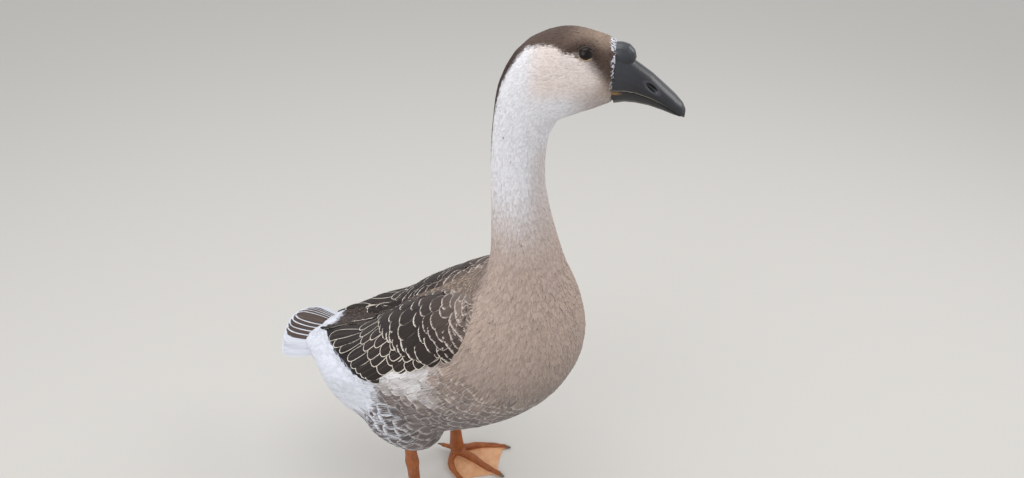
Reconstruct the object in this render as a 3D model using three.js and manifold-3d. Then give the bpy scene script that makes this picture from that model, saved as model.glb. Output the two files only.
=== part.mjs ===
import * as THREE from "three";
import { mergeVertices } from "three/addons/utils/BufferGeometryUtils.js";
import Module from "manifold-3d";

const wasm = await Module();
wasm.setup();

// A brown Chinese goose, life size, standing with its neck erect. Millimetres, +X the way the body faces,
// +Y its left, +Z up. It is modelled round the ground point midway between its two ankles.

const GAP = 0.3; // clear space between neighbouring pieces

// --- the spine: trunk, neck and head in one run ----------------------------------------------------------

// Sections from the tail's root to the bill's base: where the centre lies, and how far the plumage reaches
// from it towards the back, towards the belly and to each side.
const SECTIONS = [
  { x: -190, z: 227, back: 10, belly: 14, side: 29 },
  { x: -150, z: 239, back: 22, belly: 65, side: 55 },
  { x: -102, z: 250, back: 36, belly: 118, side: 86 },
  { x: -42, z: 272, back: 45, belly: 123, side: 101 },
  { x: 22, z: 303, back: 64, belly: 120, side: 108 },
  { x: 82, z: 337, back: 73, belly: 111, side: 105 },
  { x: 124, z: 382, back: 66, belly: 103, side: 93 },
  { x: 143, z: 430, back: 48, belly: 76, side: 68 },
  { x: 149, z: 474, back: 36, belly: 46, side: 44 },
  { x: 146, z: 520, back: 31, belly: 33.5, side: 33 },
  { x: 142, z: 565, back: 27.5, belly: 27.5, side: 28 },
  { x: 141, z: 608, back: 26, belly: 27.5, side: 26.5 },
  { x: 144, z: 640, back: 26.5, belly: 31, side: 27 },
  { x: 152, z: 667, back: 31, belly: 37, side: 28 },
  { x: 169, z: 686, back: 38, belly: 42, side: 28.5 },
  { x: 190, z: 693, back: 40.5, belly: 39, side: 28 },
  { x: 210, z: 695, back: 35.5, belly: 34, side: 25.5 },
  { x: 226, z: 695, back: 30.5, belly: 27, side: 20 },
  { x: 230, z: 695, back: 28, belly: 24, side: 17 },
];
const NECK_FROM = 8; // the section where the trunk ends and the neck begins
const HEAD_FROM = 12.5; // where the neck ends and the head begins
const TRUNK_RINGS = 27; // rings along each length of the spine
const NECK_RINGS = 12;
const HEAD_RINGS = 14;
const CUTTER_RINGS = 36;
const AROUND = 28; // corners round each section
const SQUARENESS = 0.94; // 1 would be a plain ellipse; less is a little squarer

// The head's turn to the bird's left, about the upright neck.
const TURN_DEG = 12.5;
const TURN_AXIS_X = 141;
const TURN_FROM_Z = 540;
const TURN_TO_Z = 625;

// --- bill --------------------------------------------------------------------------------------------------

// Sections of the upper bill from its base to its tip: the top, the cutting edge, and half the width.
const UPPER_BILL = [
  { x: 230.6, top: 719, edge: 684, half: 16 },
  { x: 240, top: 712, edge: 685, half: 15.6 },
  { x: 250, top: 706, edge: 684, half: 14.8 },
  { x: 262, top: 698.5, edge: 680.5, half: 13.8 },
  { x: 274, top: 689, edge: 675.5, half: 13 },
  { x: 284, top: 681, edge: 669.8, half: 11.5 },
  { x: 291, top: 674.5, edge: 664.5, half: 8.6 },
  { x: 294.5, top: 668.5, edge: 661.5, half: 4.2 },
];
const LOWER_BILL_DEPTH = [15.5, 14, 12.8, 10.6, 8.4, 5.6, 1.4]; // below the cutting edge, section by section
const LOWER_BILL_INSET = 1.4; // how much narrower it is than the upper bill
const BILL_ARCH = 0.8; // below 1 the roof is fuller than a plain arch
const PALATE = 1.2; // how far the roof of the mouth lies above the cutting edge
const KNOB = { x: 233.5, z: 711.5, long: 13.5, wide: 11, high: 12.5 };
const NOSTRIL = { x: 263.6, y: 12.5, z: 689.5, long: 15, deep: 4, high: 2.4, slope_deg: -35 };

// --- eyes --------------------------------------------------------------------------------------------------

const EYE = { x: 205, y: 15.6, z: 715.4, radius: 7.8, corners: 12 };

// --- tail --------------------------------------------------------------------------------------------------

const TAIL = { rootX: -128, rootZ: 252, slope_deg: 12, yaw_deg: 5, from: 30, length: 120, thick: 9, tip: 0.8 };
const TAIL_ROUNDED = 0.12; // how much shorter the outermost feathers are, as a share of the length
const TAIL_THINNED = 0.4; // and how much thinner the plate is there
const TAIL_HALF = [40, 36]; // half its width at the root and at the tip
const TAIL_DROOP = [26, 12]; // and how much lower the outer feathers lie than the middle ones
const TAIL_STEPS = 14;
const TAIL_SHARES = [0, 0.25, 0.5, 0.75, 0.93, 1]; // where the plate has corners, from root to tip

// --- wings -------------------------------------------------------------------------------------------------

// Edges of the folded wing on the body's surface, from the shoulder to the tip: how far along the spine's
// sections, and the angle up from the widest line of the side.
const WING_UPPER = [
  [7.1, 44],
  [6.5, 72],
  [5.2, 86],
  [3.6, 88],
  [2, 84],
  [0.75, 78],
];
const WING_LOWER = [
  [6.9, 26],
  [6.2, 13],
  [5.2, 9],
  [4.2, 4],
  [3.5, 9],
  [2.9, 29],
  [2.1, 50],
  [0.75, 68],
];
const WING_THICK = 10;
const WING_EDGE = 1.6;
const WING_CLEAR = 1.4; // keeps the facets of the wing off those of the trunk
const WING_LIFT = 4; // how far the tip stands off the rump
const WING_LIFT_FROM = 0.4; // and the share of the wing from which it does
const WING_SWELLS = [0.12, 0.9]; // the stretch of a sine wave that its thickness follows along it
const WING_FULLNESS = 0.6;
const WING_STEPS = 16;
const WING_ACROSS = 8;

// --- legs --------------------------------------------------------------------------------------------------

// Where each tarsus stands on its foot, and which side it is on.
const LEGS = {
  left: { x: 8, y: 51, side: 1 },
  right: { x: 4, y: -57, side: -1 },
};
// The feathered drumstick, from the leg's axis: height, centre from front to back and outwards, half
// length and half width.
const THIGH = [
  { z: 262, x: 4, y: 6, long: 62, wide: 44 },
  { z: 225, x: 4, y: 8, long: 62, wide: 44 },
  { z: 198, x: 2, y: 7, long: 58, wide: 38 },
  { z: 175, x: 2, y: 5, long: 44, wide: 27 },
  { z: 157, x: 2, y: 2, long: 25, wide: 16 },
  { z: 145, x: 0, y: 0, long: 12, wide: 10 },
];
// The bare leg from its top down: height, half depth front to back and half width.
const SHANK = [
  { z: 144.5, deep: 8.4, wide: 7.6 },
  { z: 122, deep: 8.5, wide: 7.6 },
  { z: 106, deep: 10.6, wide: 9 },
  { z: 92, deep: 9, wide: 7.8 },
  { z: 62, deep: 8.8, wide: 7.2 },
  { z: 34, deep: 10.8, wide: 8.6 },
  { z: 20, deep: 12.4, wide: 10 },
];

// Toes of the left foot as they lie on the ground, from the tarsus to the claw's root.
const TOES = {
  outer: { points: [[1, 5], [24, 26], [46, 38], [65, 46]], root: 6.4, tip: 3.6, joints: 3, lift: 0 },
  middle: { points: [[3, 0], [32, 0], [57, -4], [81, -5]], root: 7, tip: 4, joints: 3, lift: 0 },
  inner: { points: [[-2, -4], [0, -20], [13, -33], [36, -43]], root: 6.2, tip: 3.8, joints: 2, lift: 0 },
  hind: { points: [[-6, -1], [-13, -1], [-20, -2], [-27, -3]], root: 4.6, tip: 2.8, joints: 1, lift: 8 },
};
const TOE_STEPS = 7;
const TOE_CORNERS = 8;
const TOE_SWELL = 0.1; // how much thicker a toe is at its joints
const TOE_FLAT = 0.86; // how high its middle lies, as a share of its radius
const TOE_INSTEP = 3.5; // how much higher it lies where it leaves the shank
const ANKLE = { radius: 10, z: 11, scale: [1.1, 0.95, 1] };
const WEB_THICK = 2.2;
const WEB_HEEL = [-6, -4]; // the web's hindmost corner
const WEB_REACH = 0.95; // how far along the toes it reaches
const WEB_SAG = 0.05; // how far the web's front edge curves back between two toes
const CLAW = { long: 8, wide: 0.8, tip: 0.5, steps: 3, corners: 6 };

// --- shape tools -------------------------------------------------------------------------------------------

const radians = THREE.MathUtils.degToRad;
const mix = THREE.MathUtils.lerp;

function curveThrough(points) {
  return new THREE.CatmullRomCurve3(points, false, "catmullrom", 0.5);
}

// Turns a point of the head or upper neck about the neck's axis.
function turnHead(point) {
  const angle = radians(TURN_DEG) * THREE.MathUtils.smoothstep(point.z, TURN_FROM_Z, TURN_TO_Z);
  const x = point.x - TURN_AXIS_X;
  const y = point.y;
  point.x = TURN_AXIS_X + x * Math.cos(angle) - y * Math.sin(angle);
  point.y = x * Math.sin(angle) + y * Math.cos(angle);
  return point;
}

function middleOf(ring) {
  const sum = new THREE.Vector3();
  for (const point of ring) sum.add(point);
  return sum.divideScalar(ring.length);
}

// A closed geometry through rings of points, each end closed to its own middle.
function loft(rings) {
  const count = rings[0].length;
  const points = [...rings.flat(), middleOf(rings[0]), middleOf(rings[rings.length - 1])];
  const last = (rings.length - 1) * count;
  const faces = [];
  for (let start = 0; start < last; start += count) {
    for (let i = 0; i < count; i++) {
      const a = start + i;
      const b = start + ((i + 1) % count);
      faces.push(a, b, b + count, a, b + count, a + count);
    }
  }
  for (let i = 0; i < count; i++) {
    const next = (i + 1) % count;
    faces.push(points.length - 2, next, i);
    faces.push(points.length - 1, last + i, last + next);
  }
  const geometry = new THREE.BufferGeometry().setFromPoints(points);
  geometry.setIndex(faces);
  return geometry;
}

function manifoldFrom(positions, triangles) {
  return new wasm.Manifold(
    new wasm.Mesh({
      numProp: 3,
      vertProperties: new Float32Array(positions),
      triVerts: new Uint32Array(triangles),
    }),
  );
}

// A solid from a closed geometry, whichever way its faces were wound.
function solid(geometry) {
  const bare = geometry.clone();
  bare.deleteAttribute("normal");
  bare.deleteAttribute("uv");
  const merged = mergeVertices(bare, 1e-4);
  const made = manifoldFrom(merged.attributes.position.array, merged.index.array);
  if (made.volume() > 0) return made;
  const turned = [];
  const faces = merged.index.array;
  for (let i = 0; i < faces.length; i += 3) turned.push(faces[i], faces[i + 2], faces[i + 1]);
  return manifoldFrom(merged.attributes.position.array, turned);
}

function geometryOf(manifold) {
  const mesh = manifold.getMesh();
  const geometry = new THREE.BufferGeometry();
  geometry.setAttribute("position", new THREE.BufferAttribute(mesh.vertProperties, 3));
  geometry.setIndex(new THREE.BufferAttribute(mesh.triVerts, 1));
  geometry.computeVertexNormals();
  return geometry;
}

function ball(radius, x, y, z, scale = [1, 1, 1], segments = 16) {
  const geometry = new THREE.SphereGeometry(radius, segments, Math.round(segments * 0.7));
  geometry.scale(...scale);
  geometry.translate(x, y, z);
  return geometry;
}

// One oval ring lying level, for the legs.
function levelRing(x, y, z, long, wide, count) {
  const ring = [];
  for (let i = 0; i < count; i++) {
    const angle = (i / count) * 2 * Math.PI;
    ring.push(new THREE.Vector3(x + long * Math.cos(angle), y + wide * Math.sin(angle), z));
  }
  return ring;
}

// --- the body's surface ------------------------------------------------------------------------------------

const LAST = SECTIONS.length - 1;
const spine = curveThrough(SECTIONS.map((s) => new THREE.Vector3(s.x, 0, s.z)));
const girth = curveThrough(SECTIONS.map((s) => new THREE.Vector3(s.back, s.belly, s.side)));

// A point of the plumage's surface: place counts sections along the spine, angle goes from the left side
// up over the back, and extra stands it off outwards.
function bodyPoint(place, angle, extra) {
  const centre = spine.getPoint(place / LAST);
  const along = spine.getTangent(place / LAST);
  const size = girth.getPoint(place / LAST);
  const c = Math.cos(angle);
  const s = Math.sin(angle);
  const side = (size.z + extra) * Math.sign(c) * Math.abs(c) ** SQUARENESS;
  const up = ((s > 0 ? size.x : size.y) + extra) * Math.sign(s) * Math.abs(s) ** SQUARENESS;
  return turnHead(new THREE.Vector3(centre.x - along.z * up, side, centre.z + along.x * up));
}

function bodyLength(from, to, steps, extra = 0) {
  const rings = [];
  for (let k = 0; k <= steps; k++) {
    const ring = [];
    for (let i = 0; i < AROUND; i++)
      ring.push(bodyPoint(mix(from, to, k / steps), (i / AROUND) * 2 * Math.PI, extra));
    rings.push(ring);
  }
  return solid(loft(rings));
}

// Half the gap at a cut across the spine, counted in sections.
function halfGap(place) {
  const step = 0.01;
  const ahead = spine.getPoint((place + step) / LAST);
  const behind = spine.getPoint((place - step) / LAST);
  return (GAP * 0.7 * 2 * step) / ahead.distanceTo(behind);
}

// --- pieces ------------------------------------------------------------------------------------------------

const goose = new THREE.Group();

function add(name, manifold, color, roughness) {
  const material = new THREE.MeshStandardMaterial({ color, roughness, metalness: 0 });
  const mesh = new THREE.Mesh(geometryOf(manifold), material);
  mesh.name = name;
  goose.add(mesh);
}

const FAWN = 0x9b8d80;
const CREAM = 0xd8cbb8;
const DARK_BROWN = 0x4a3f38;
const BROWN = 0x6b5d52;
const SLATE = 0x33353b;
const ORANGE = 0xc8682c;
const EYE_DARK = 0x14100e;

// Trunk, neck and head are one surface, parted by two thin cuts.
function makeBody() {
  add("trunk", bodyLength(0, NECK_FROM - halfGap(NECK_FROM), TRUNK_RINGS), FAWN, 0.9);
  const neckEnd = HEAD_FROM - halfGap(HEAD_FROM);
  add("neck", bodyLength(NECK_FROM + halfGap(NECK_FROM), neckEnd, NECK_RINGS), FAWN, 0.9);
  let head = bodyLength(HEAD_FROM + halfGap(HEAD_FROM), LAST, HEAD_RINGS);
  for (const side of [-1, 1]) head = head.subtract(eyeBall(side, EYE.radius + GAP));
  add("head", head, CREAM, 0.85);
}

function eyeBall(side, radius) {
  const place = turnHead(new THREE.Vector3(EYE.x, side * EYE.y, EYE.z));
  return solid(ball(radius, place.x, place.y, place.z, [1, 1, 1], EYE.corners));
}

function makeEyes() {
  add("eye_left", eyeBall(1, EYE.radius), EYE_DARK, 0.1);
  add("eye_right", eyeBall(-1, EYE.radius), EYE_DARK, 0.1);
}

function turned(geometry) {
  const position = geometry.attributes.position;
  const point = new THREE.Vector3();
  for (let i = 0; i < position.count; i++) {
    turnHead(point.fromBufferAttribute(position, i));
    position.setXYZ(i, point.x, point.y, point.z);
  }
  return geometry;
}

// One cross section of the upper bill: a flat underside and an arched roof.
function upperBillRing({ x, top, edge, half }) {
  const ring = [];
  const steps = 12;
  for (let i = 0; i <= steps; i++) {
    const angle = (i / steps) * Math.PI;
    const y = half * Math.cos(angle);
    ring.push(new THREE.Vector3(x, y, edge + (top - edge) * Math.sin(angle) ** BILL_ARCH));
  }
  for (const share of [-0.5, 0, 0.5]) {
    ring.push(new THREE.Vector3(x, half * share, edge + PALATE));
  }
  return ring;
}

function makeUpperBill() {
  const rings = UPPER_BILL.map(upperBillRing);
  let bill = solid(turned(loft(rings)));
  const knob = ball(1, KNOB.x, 0, KNOB.z, [KNOB.long, KNOB.wide, KNOB.high], 12);
  bill = bill.add(solid(turned(knob)));
  for (const side of [-1, 1]) {
    const slot = ball(1, 0, 0, 0, [NOSTRIL.long / 2, NOSTRIL.deep, NOSTRIL.high], 10);
    slot.rotateY(-radians(NOSTRIL.slope_deg));
    slot.translate(NOSTRIL.x, side * NOSTRIL.y, NOSTRIL.z);
    bill = bill.subtract(solid(turned(slot)));
  }
  const headEnd = new THREE.BoxGeometry(60, 80, 120);
  headEnd.translate(UPPER_BILL[0].x - 30, 0, 700);
  bill = bill.subtract(solid(turned(headEnd)));
  add("bill_upper", bill, SLATE, 0.45);
}

function lowerBillRing(section, depth) {
  const ring = [];
  const steps = 10;
  const half = section.half - LOWER_BILL_INSET;
  const roof = section.edge - GAP;
  for (let i = 0; i <= steps; i++) {
    const angle = (i / steps) * Math.PI;
    ring.push(new THREE.Vector3(section.x, half * Math.cos(angle), roof - depth * Math.sin(angle)));
  }
  return ring;
}

function makeLowerBill() {
  const rings = LOWER_BILL_DEPTH.map((depth, i) => lowerBillRing(UPPER_BILL[i], depth));
  add("bill_lower", solid(turned(loft(rings))), SLATE, 0.45);
}

// A fan of tail feathers as one thin plate, each strip of it a ring from the root out to the tip and back.
function makeTail() {
  const rings = [];
  for (let k = 0; k <= TAIL_STEPS; k++) {
    const across = mix(-1, 1, k / TAIL_STEPS);
    const length = TAIL.length * (1 - TAIL_ROUNDED * across * across);
    const flatter = 1 - TAIL_THINNED * across * across;
    const ring = [];
    const side = (share, up) => {
      const reach = mix(TAIL.from, length, share);
      const down = mix(...TAIL_DROOP, share) * across * across;
      const slope = radians(TAIL.slope_deg);
      const point = new THREE.Vector3(
        -reach * Math.cos(slope),
        across * mix(...TAIL_HALF, share),
        TAIL.rootZ - reach * Math.sin(slope) - down + up,
      );
      point.applyAxisAngle(new THREE.Vector3(0, 0, 1), -radians(TAIL.yaw_deg));
      point.x += TAIL.rootX;
      return point;
    };
    for (const share of TAIL_SHARES) {
      ring.push(side(share, mix(TAIL.thick / 2, TAIL.tip, share) * flatter));
    }
    for (const share of [...TAIL_SHARES].reverse()) {
      ring.push(side(share, -mix(TAIL.thick / 2, TAIL.tip, share) * flatter));
    }
    rings.push(ring);
  }
  add("tail", solid(loft(rings)).subtract(bodyLength(0, 3, 12, GAP)), BROWN, 0.8);
}

// A folded wing: a shell on the body's surface, thick along its middle and thin at its edges.
function wingSolid(mirror) {
  const edge = (points) => curveThrough(points.map(([place, deg]) => new THREE.Vector3(place, deg, 0)));
  const upper = edge(WING_UPPER);
  const lower = edge(WING_LOWER);
  const rings = [];
  for (let k = 0; k <= WING_STEPS; k++) {
    const along = k / WING_STEPS;
    const a = upper.getPoint(along);
    const b = lower.getPoint(along);
    const lift = WING_LIFT * THREE.MathUtils.smoothstep(along, WING_LIFT_FROM, 1);
    const thick = WING_THICK * Math.sin(Math.PI * mix(...WING_SWELLS, along)) ** WING_FULLNESS;
    const outer = [];
    const inner = [];
    for (let i = 0; i <= WING_ACROSS; i++) {
      const across = i / WING_ACROSS;
      const place = mix(a.x, b.x, across);
      const angle = radians(mix(a.y, b.y, across));
      const swell = WING_EDGE + thick * Math.sin(Math.PI * across) ** 0.5;
      outer.push(bodyPoint(place, angle, WING_CLEAR + lift + swell));
      inner.push(bodyPoint(place, angle, WING_CLEAR + lift));
    }
    const ring = [...outer, ...inner.reverse()];
    if (mirror) for (const point of ring) point.y = -point.y;
    rings.push(ring);
  }
  return solid(loft(rings));
}

function makeWings() {
  add("wing_left", wingSolid(false), DARK_BROWN, 0.8);
  add("wing_right", wingSolid(true), DARK_BROWN, 0.8);
}

function makeLegs() {
  const clear = bodyLength(0, NECK_FROM + 1, CUTTER_RINGS, GAP);
  for (const [name, leg] of Object.entries(LEGS)) {
    const thigh = THIGH.map((s) => levelRing(leg.x + s.x, leg.y + leg.side * s.y, s.z, s.long, s.wide, 20));
    add(`thigh_${name}`, solid(loft(thigh)).subtract(clear), BROWN, 0.9);
    const shank = SHANK.map((s) => levelRing(leg.x, leg.y, s.z, s.deep, s.wide, 14));
    add(`leg_${name}`, solid(loft(shank)), ORANGE, 0.6);
    makeFoot(name, leg);
  }
}

function toePath(toe) {
  return curveThrough(toe.points.map(([x, y]) => new THREE.Vector3(x, y, toe.lift)));
}

// A ring square to a level direction, for toes and claws.
function uprightRing(centre, along, radius, count) {
  const ring = [];
  for (let i = 0; i < count; i++) {
    const angle = (i / count) * 2 * Math.PI;
    const out = radius * Math.cos(angle);
    const up = radius * Math.sin(angle);
    ring.push(new THREE.Vector3(centre.x - along.y * out, centre.y + along.x * out, centre.z + up));
  }
  return ring;
}

// A toe as a row of rings that swell at its joints and lie on the ground.
function toeRings(toe) {
  const path = toePath(toe);
  const rings = [];
  for (let k = 0; k <= TOE_STEPS; k++) {
    const t = k / TOE_STEPS;
    const centre = path.getPoint(t);
    const joint = 1 + TOE_SWELL * Math.cos(2 * Math.PI * toe.joints * t);
    const radius = mix(toe.root, toe.tip, t) * joint;
    centre.z += radius * TOE_FLAT + mix(TOE_INSTEP, 0, Math.min(1, t * 3));
    rings.push(uprightRing(centre, path.getTangent(t), radius, TOE_CORNERS));
  }
  return rings;
}

function clawRings(toe) {
  const path = toePath(toe);
  const root = path.getPoint(1);
  const along = path.getTangent(1);
  const rings = [];
  for (let k = 0; k <= CLAW.steps; k++) {
    const t = k / CLAW.steps;
    const centre = root.clone().addScaledVector(along, GAP + CLAW.long * t);
    centre.z += toe.tip * mix(1, CLAW.tip, t);
    rings.push(uprightRing(centre, along, toe.tip * CLAW.wide * Math.sqrt(1.02 - t * t), CLAW.corners));
  }
  return rings;
}

// The skin stretched between the three front toes, a little short of their tips.
function webSolid() {
  const ends = [TOES.outer, TOES.middle, TOES.inner].map((toe) => toePath(toe).getPoint(WEB_REACH));
  const shape = new THREE.Shape();
  shape.moveTo(...WEB_HEEL);
  shape.lineTo(TOES.inner.points[1][0], TOES.inner.points[1][1]);
  shape.lineTo(TOES.inner.points[2][0], TOES.inner.points[2][1]);
  shape.lineTo(ends[2].x, ends[2].y);
  for (const [from, to] of [[2, 1], [1, 0]]) {
    const back = 1 - 2 * WEB_SAG;
    const x = (ends[from].x + ends[to].x) / 2;
    const y = (ends[from].y + ends[to].y) / 2;
    shape.quadraticCurveTo(x * back, y * back, ends[to].x, ends[to].y);
  }
  shape.lineTo(TOES.outer.points[1][0], TOES.outer.points[1][1]);
  shape.lineTo(...WEB_HEEL);
  return solid(new THREE.ExtrudeGeometry(shape, { depth: WEB_THICK, bevelEnabled: false, curveSegments: 6 }));
}

function makeFoot(name, leg) {
  const place = (manifold) => {
    const geometry = geometryOf(manifold);
    geometry.scale(1, leg.side, 1);
    geometry.translate(leg.x, leg.y, 0);
    return solid(geometry);
  };
  const ground = new THREE.BoxGeometry(300, 300, 40);
  ground.translate(0, 0, -20);
  const shin = new THREE.BoxGeometry(60, 60, 40);
  shin.translate(0, 0, SHANK[SHANK.length - 1].z - GAP + 20);
  let foot = webSolid().add(solid(ball(ANKLE.radius, 0, 0, ANKLE.z, ANKLE.scale, 10)));
  for (const toe of Object.values(TOES)) foot = foot.add(solid(loft(toeRings(toe))));
  foot = foot.subtract(solid(ground)).subtract(solid(shin));
  add(`foot_${name}`, place(foot), ORANGE, 0.6);
  for (const [toeName, toe] of Object.entries(TOES)) {
    const claw = solid(loft(clawRings(toe))).subtract(solid(ground));
    add(`claw_${name}_${toeName}`, place(claw), DARK_BROWN, 0.4);
  }
}

makeBody();
makeEyes();
makeUpperBill();
makeLowerBill();
makeTail();
makeWings();
makeLegs();

// The origin goes to the middle of the goose's length and width, on the ground.
const extent = new THREE.Box3().setFromObject(goose);
const centre = extent.getCenter(new THREE.Vector3());
goose.position.set(-centre.x, -centre.y, -extent.min.z);

export default goose;
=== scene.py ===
import math

import bmesh
import bpy
import numpy as np
from mathutils import Matrix, Vector
from mathutils.bvhtree import BVHTree
from mathutils.kdtree import KDTree


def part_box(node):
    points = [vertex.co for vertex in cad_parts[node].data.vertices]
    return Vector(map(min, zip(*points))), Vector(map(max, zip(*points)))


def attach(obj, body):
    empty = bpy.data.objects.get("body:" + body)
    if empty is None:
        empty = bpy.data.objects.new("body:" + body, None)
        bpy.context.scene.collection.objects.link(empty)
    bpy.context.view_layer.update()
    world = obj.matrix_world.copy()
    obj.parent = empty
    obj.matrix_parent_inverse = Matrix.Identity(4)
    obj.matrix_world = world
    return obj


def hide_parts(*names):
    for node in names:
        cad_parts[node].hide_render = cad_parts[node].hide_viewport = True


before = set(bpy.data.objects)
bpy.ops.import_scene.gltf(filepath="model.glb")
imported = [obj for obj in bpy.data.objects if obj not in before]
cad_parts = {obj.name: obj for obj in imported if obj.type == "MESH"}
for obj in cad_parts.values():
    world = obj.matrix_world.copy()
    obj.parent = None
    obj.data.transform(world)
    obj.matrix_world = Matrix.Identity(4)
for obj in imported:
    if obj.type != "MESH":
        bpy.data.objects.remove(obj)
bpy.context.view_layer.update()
chance = np.random.default_rng(20)

# ---------------------------------------------------------------------------------------------
# The camera: held at chest height beside the bird, looking down at it over a wide lens.
IMAGE_WIDE = 1024
FOCAL_PIXELS = 680
CAMERA_AT = (0.3893, -0.5342, 0.92)
HEADING = (-0.4617, 0.8870)
LOOKS_DOWN = math.radians(35)


def add_object(name, data):
    """An object of this data, linked to the scene."""
    made = bpy.data.objects.new(name, data)
    bpy.context.scene.collection.objects.link(made)
    return made


camera_lens = bpy.data.cameras.new("camera")
camera_lens.sensor_width = 36
camera_lens.lens = camera_lens.sensor_width * FOCAL_PIXELS / IMAGE_WIDE
camera_lens.clip_start = 0.02
camera = add_object("camera", camera_lens)
camera.location = CAMERA_AT
view = Vector((*(c * math.cos(LOOKS_DOWN) for c in HEADING), -math.sin(LOOKS_DOWN)))
camera.rotation_euler = view.to_track_quat("-Z", "Y").to_euler()
bpy.context.scene.camera = camera
bpy.context.scene.view_settings.view_transform = "Standard"

# ---------------------------------------------------------------------------------------------
# The studio: a pale seamless floor under one wide overhead softbox, a softer key from the left
# and a rim light behind the breast, with pale walls all round.
FLOOR_HALF = 6.0
FLOOR_GREY = "#cfccc6"
WALL_GREY = "#e2e3e6"
WALL_STRENGTH = 0.95
LIGHTS_AIM = (0, 0, 0.4)


def linear(shade):
    """An sRGB hex colour as linear red, green, blue and alpha."""
    parts = [int(shade[i : i + 2], 16) / 255 for i in (1, 3, 5)]
    return (*(c / 12.92 if c <= 0.04045 else ((c + 0.055) / 1.055) ** 2.4 for c in parts), 1)


def link(node, **links):
    """Links sockets, or the first sockets of nodes, to a node's inputs, by name or number."""
    for key, source in links.items():
        slot = int(key[1:]) if key[0] == "_" else key.replace("_", " ")
        socket = source.outputs[0] if isinstance(source, bpy.types.Node) else source
        node.id_data.links.new(socket, node.inputs[slot])


def add_node(material, kind, values=None, **links):
    """Adds a node, sets its inputs and settings by name or number, and links its inputs."""
    node = material.node_tree.nodes.new(kind)
    for key, value in (values or {}).items():
        if isinstance(key, str) and hasattr(node, key):
            setattr(node, key, value)
        else:
            node.inputs[key].default_value = value
    link(node, **links)
    return node


def maths(material, operation, *inputs):
    """Adds a node that works on these numbers, sockets or nodes."""
    node = add_node(material, "ShaderNodeMath", {"operation": operation})
    for index, value in enumerate(inputs):
        if isinstance(value, (int, float)):
            node.inputs[index].default_value = value
        else:
            link(node, **{f"_{index}": value})
    return node


def new_material(name, values):
    """A material and its shader, whose plain numbers and colours are set here."""
    material = bpy.data.materials.new(name)
    material.use_nodes = True
    shader = material.node_tree.nodes["Principled BSDF"]
    for key, value in values.items():
        shader.inputs[key].default_value = value
    return material, shader


def add_piece(name, bm, materials, smooth=True):
    """Makes an object of a bmesh and frees it."""
    mesh = bpy.data.meshes.new(name)
    bm.to_mesh(mesh)
    bm.free()
    for material in materials:
        mesh.materials.append(material)
    mesh.shade_smooth() if smooth else mesh.shade_flat()
    return add_object(name, mesh)


floor_paint = new_material("matt floor paint", {"Base Color": linear(FLOOR_GREY), "Roughness": 0.9})[0]
bm = bmesh.new()
bmesh.ops.create_grid(bm, x_segments=1, y_segments=1, size=FLOOR_HALF)
add_piece("floor", bm, [floor_paint])

world = bpy.data.worlds.new("studio walls")
world.use_nodes = True
walls = world.node_tree.nodes["Background"].inputs
walls["Color"].default_value, walls["Strength"].default_value = linear(WALL_GREY), WALL_STRENGTH
bpy.context.scene.world = world

# name, place and size in metres, power in watts
for name, place, size, power in (
    ("softbox overhead", (-0.3, 0.1, 2.2), 1.5, 13),
    ("softbox front", (-0.5, -1.6, 1.5), 1.4, 10),
    ("softbox rim", (1.2, 0.9, 1.5), 0.8, 7),
):
    lamp = bpy.data.lights.new(name, "AREA")
    lamp.size = size
    lamp.energy = power
    box = add_object(name, lamp)
    box.location = place
    box.rotation_euler = (Vector(LIGHTS_AIM) - Vector(place)).to_track_quat("-Z", "Y").to_euler()

# ---------------------------------------------------------------------------------------------
# The skin: one closed hide over trunk, neck, head, thighs and folded wings, lying under the
# feathers by the depth of the coat, with bare scaly shanks and webbed feet. Measures in mm.
MM = 0.001
SIDES = {"left": 1, "right": -1}
# The middle line of the body from the rump along the back, up the neck and out to the bill.
SPINE = (
    (-213, 239), (-125, 250), (-65, 272), (-1, 303), (59, 337), (101, 382), (120, 430),
    (126, 474), (123, 520), (119, 565), (118, 608), (121, 640), (129, 667), (146, 686),
    (167, 693), (187, 695), (207, 695),
)
SPINE_STEPS, SPINE_SMOOTHING = 481, 60
AT_ONCE = 9000  # how many points are held against the spine at a time
TURN_AXIS_X = 117.7
TURN_FROM_Z, TURN_TO_Z = 540, 625
TURN = math.radians(12.5)
# How thick the coat lies on each part; the wings' own quills are thin over a firm bed.
COAT_DEPTH = {
    "trunk": 2.8, "wing_left": 0.0, "wing_right": 0.0, "thigh_left": 2.8, "thigh_right": 2.8,
    "neck": 1.8, "head": 1.0,
}
WING_BED = 6.0
WING_SWELL = 0.8
BODY_VOXEL = 2.8
WING_VOXEL = 2.0
LEG_VOXEL = 1.0
OVERLAP = 0.5  # how far the body's solids grow, so that they fuse where they only touch
EYE_FILL = 7.4  # radius of the ball that fills each eye's place


def array_of(things, name, wide, kind=np.float32):
    """One attribute of many mesh elements as an array."""
    values = np.empty(len(things) * wide, kind)
    things.foreach_get(name, values)
    return values.reshape(-1, wide) if wide > 1 else values


def copy_of(*names):
    """A bmesh of CAD nodes, each closed by merging its loose triangles."""
    bm = bmesh.new()
    for name in names:
        bm.from_mesh(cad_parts[name].data)
    bmesh.ops.remove_doubles(bm, verts=bm.verts, dist=0.01 * MM)
    return bm


def swell(bm, by):
    """Moves each vertex out along its normal."""
    bm.normal_update()
    for vertex, normal in [(v, v.normal.copy()) for v in bm.verts]:
        vertex.co += normal * by


def reshape(piece, points):
    """Moves a piece's vertices to these places."""
    piece.data.vertices.foreach_set("co", points.ravel())
    piece.data.update()


def settle(piece):
    """Applies a piece's modifiers to its mesh."""
    graph = bpy.context.evaluated_depsgraph_get()
    done = bpy.data.meshes.new_from_object(piece.evaluated_get(graph))
    piece.modifiers.clear()
    piece.data = done


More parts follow.
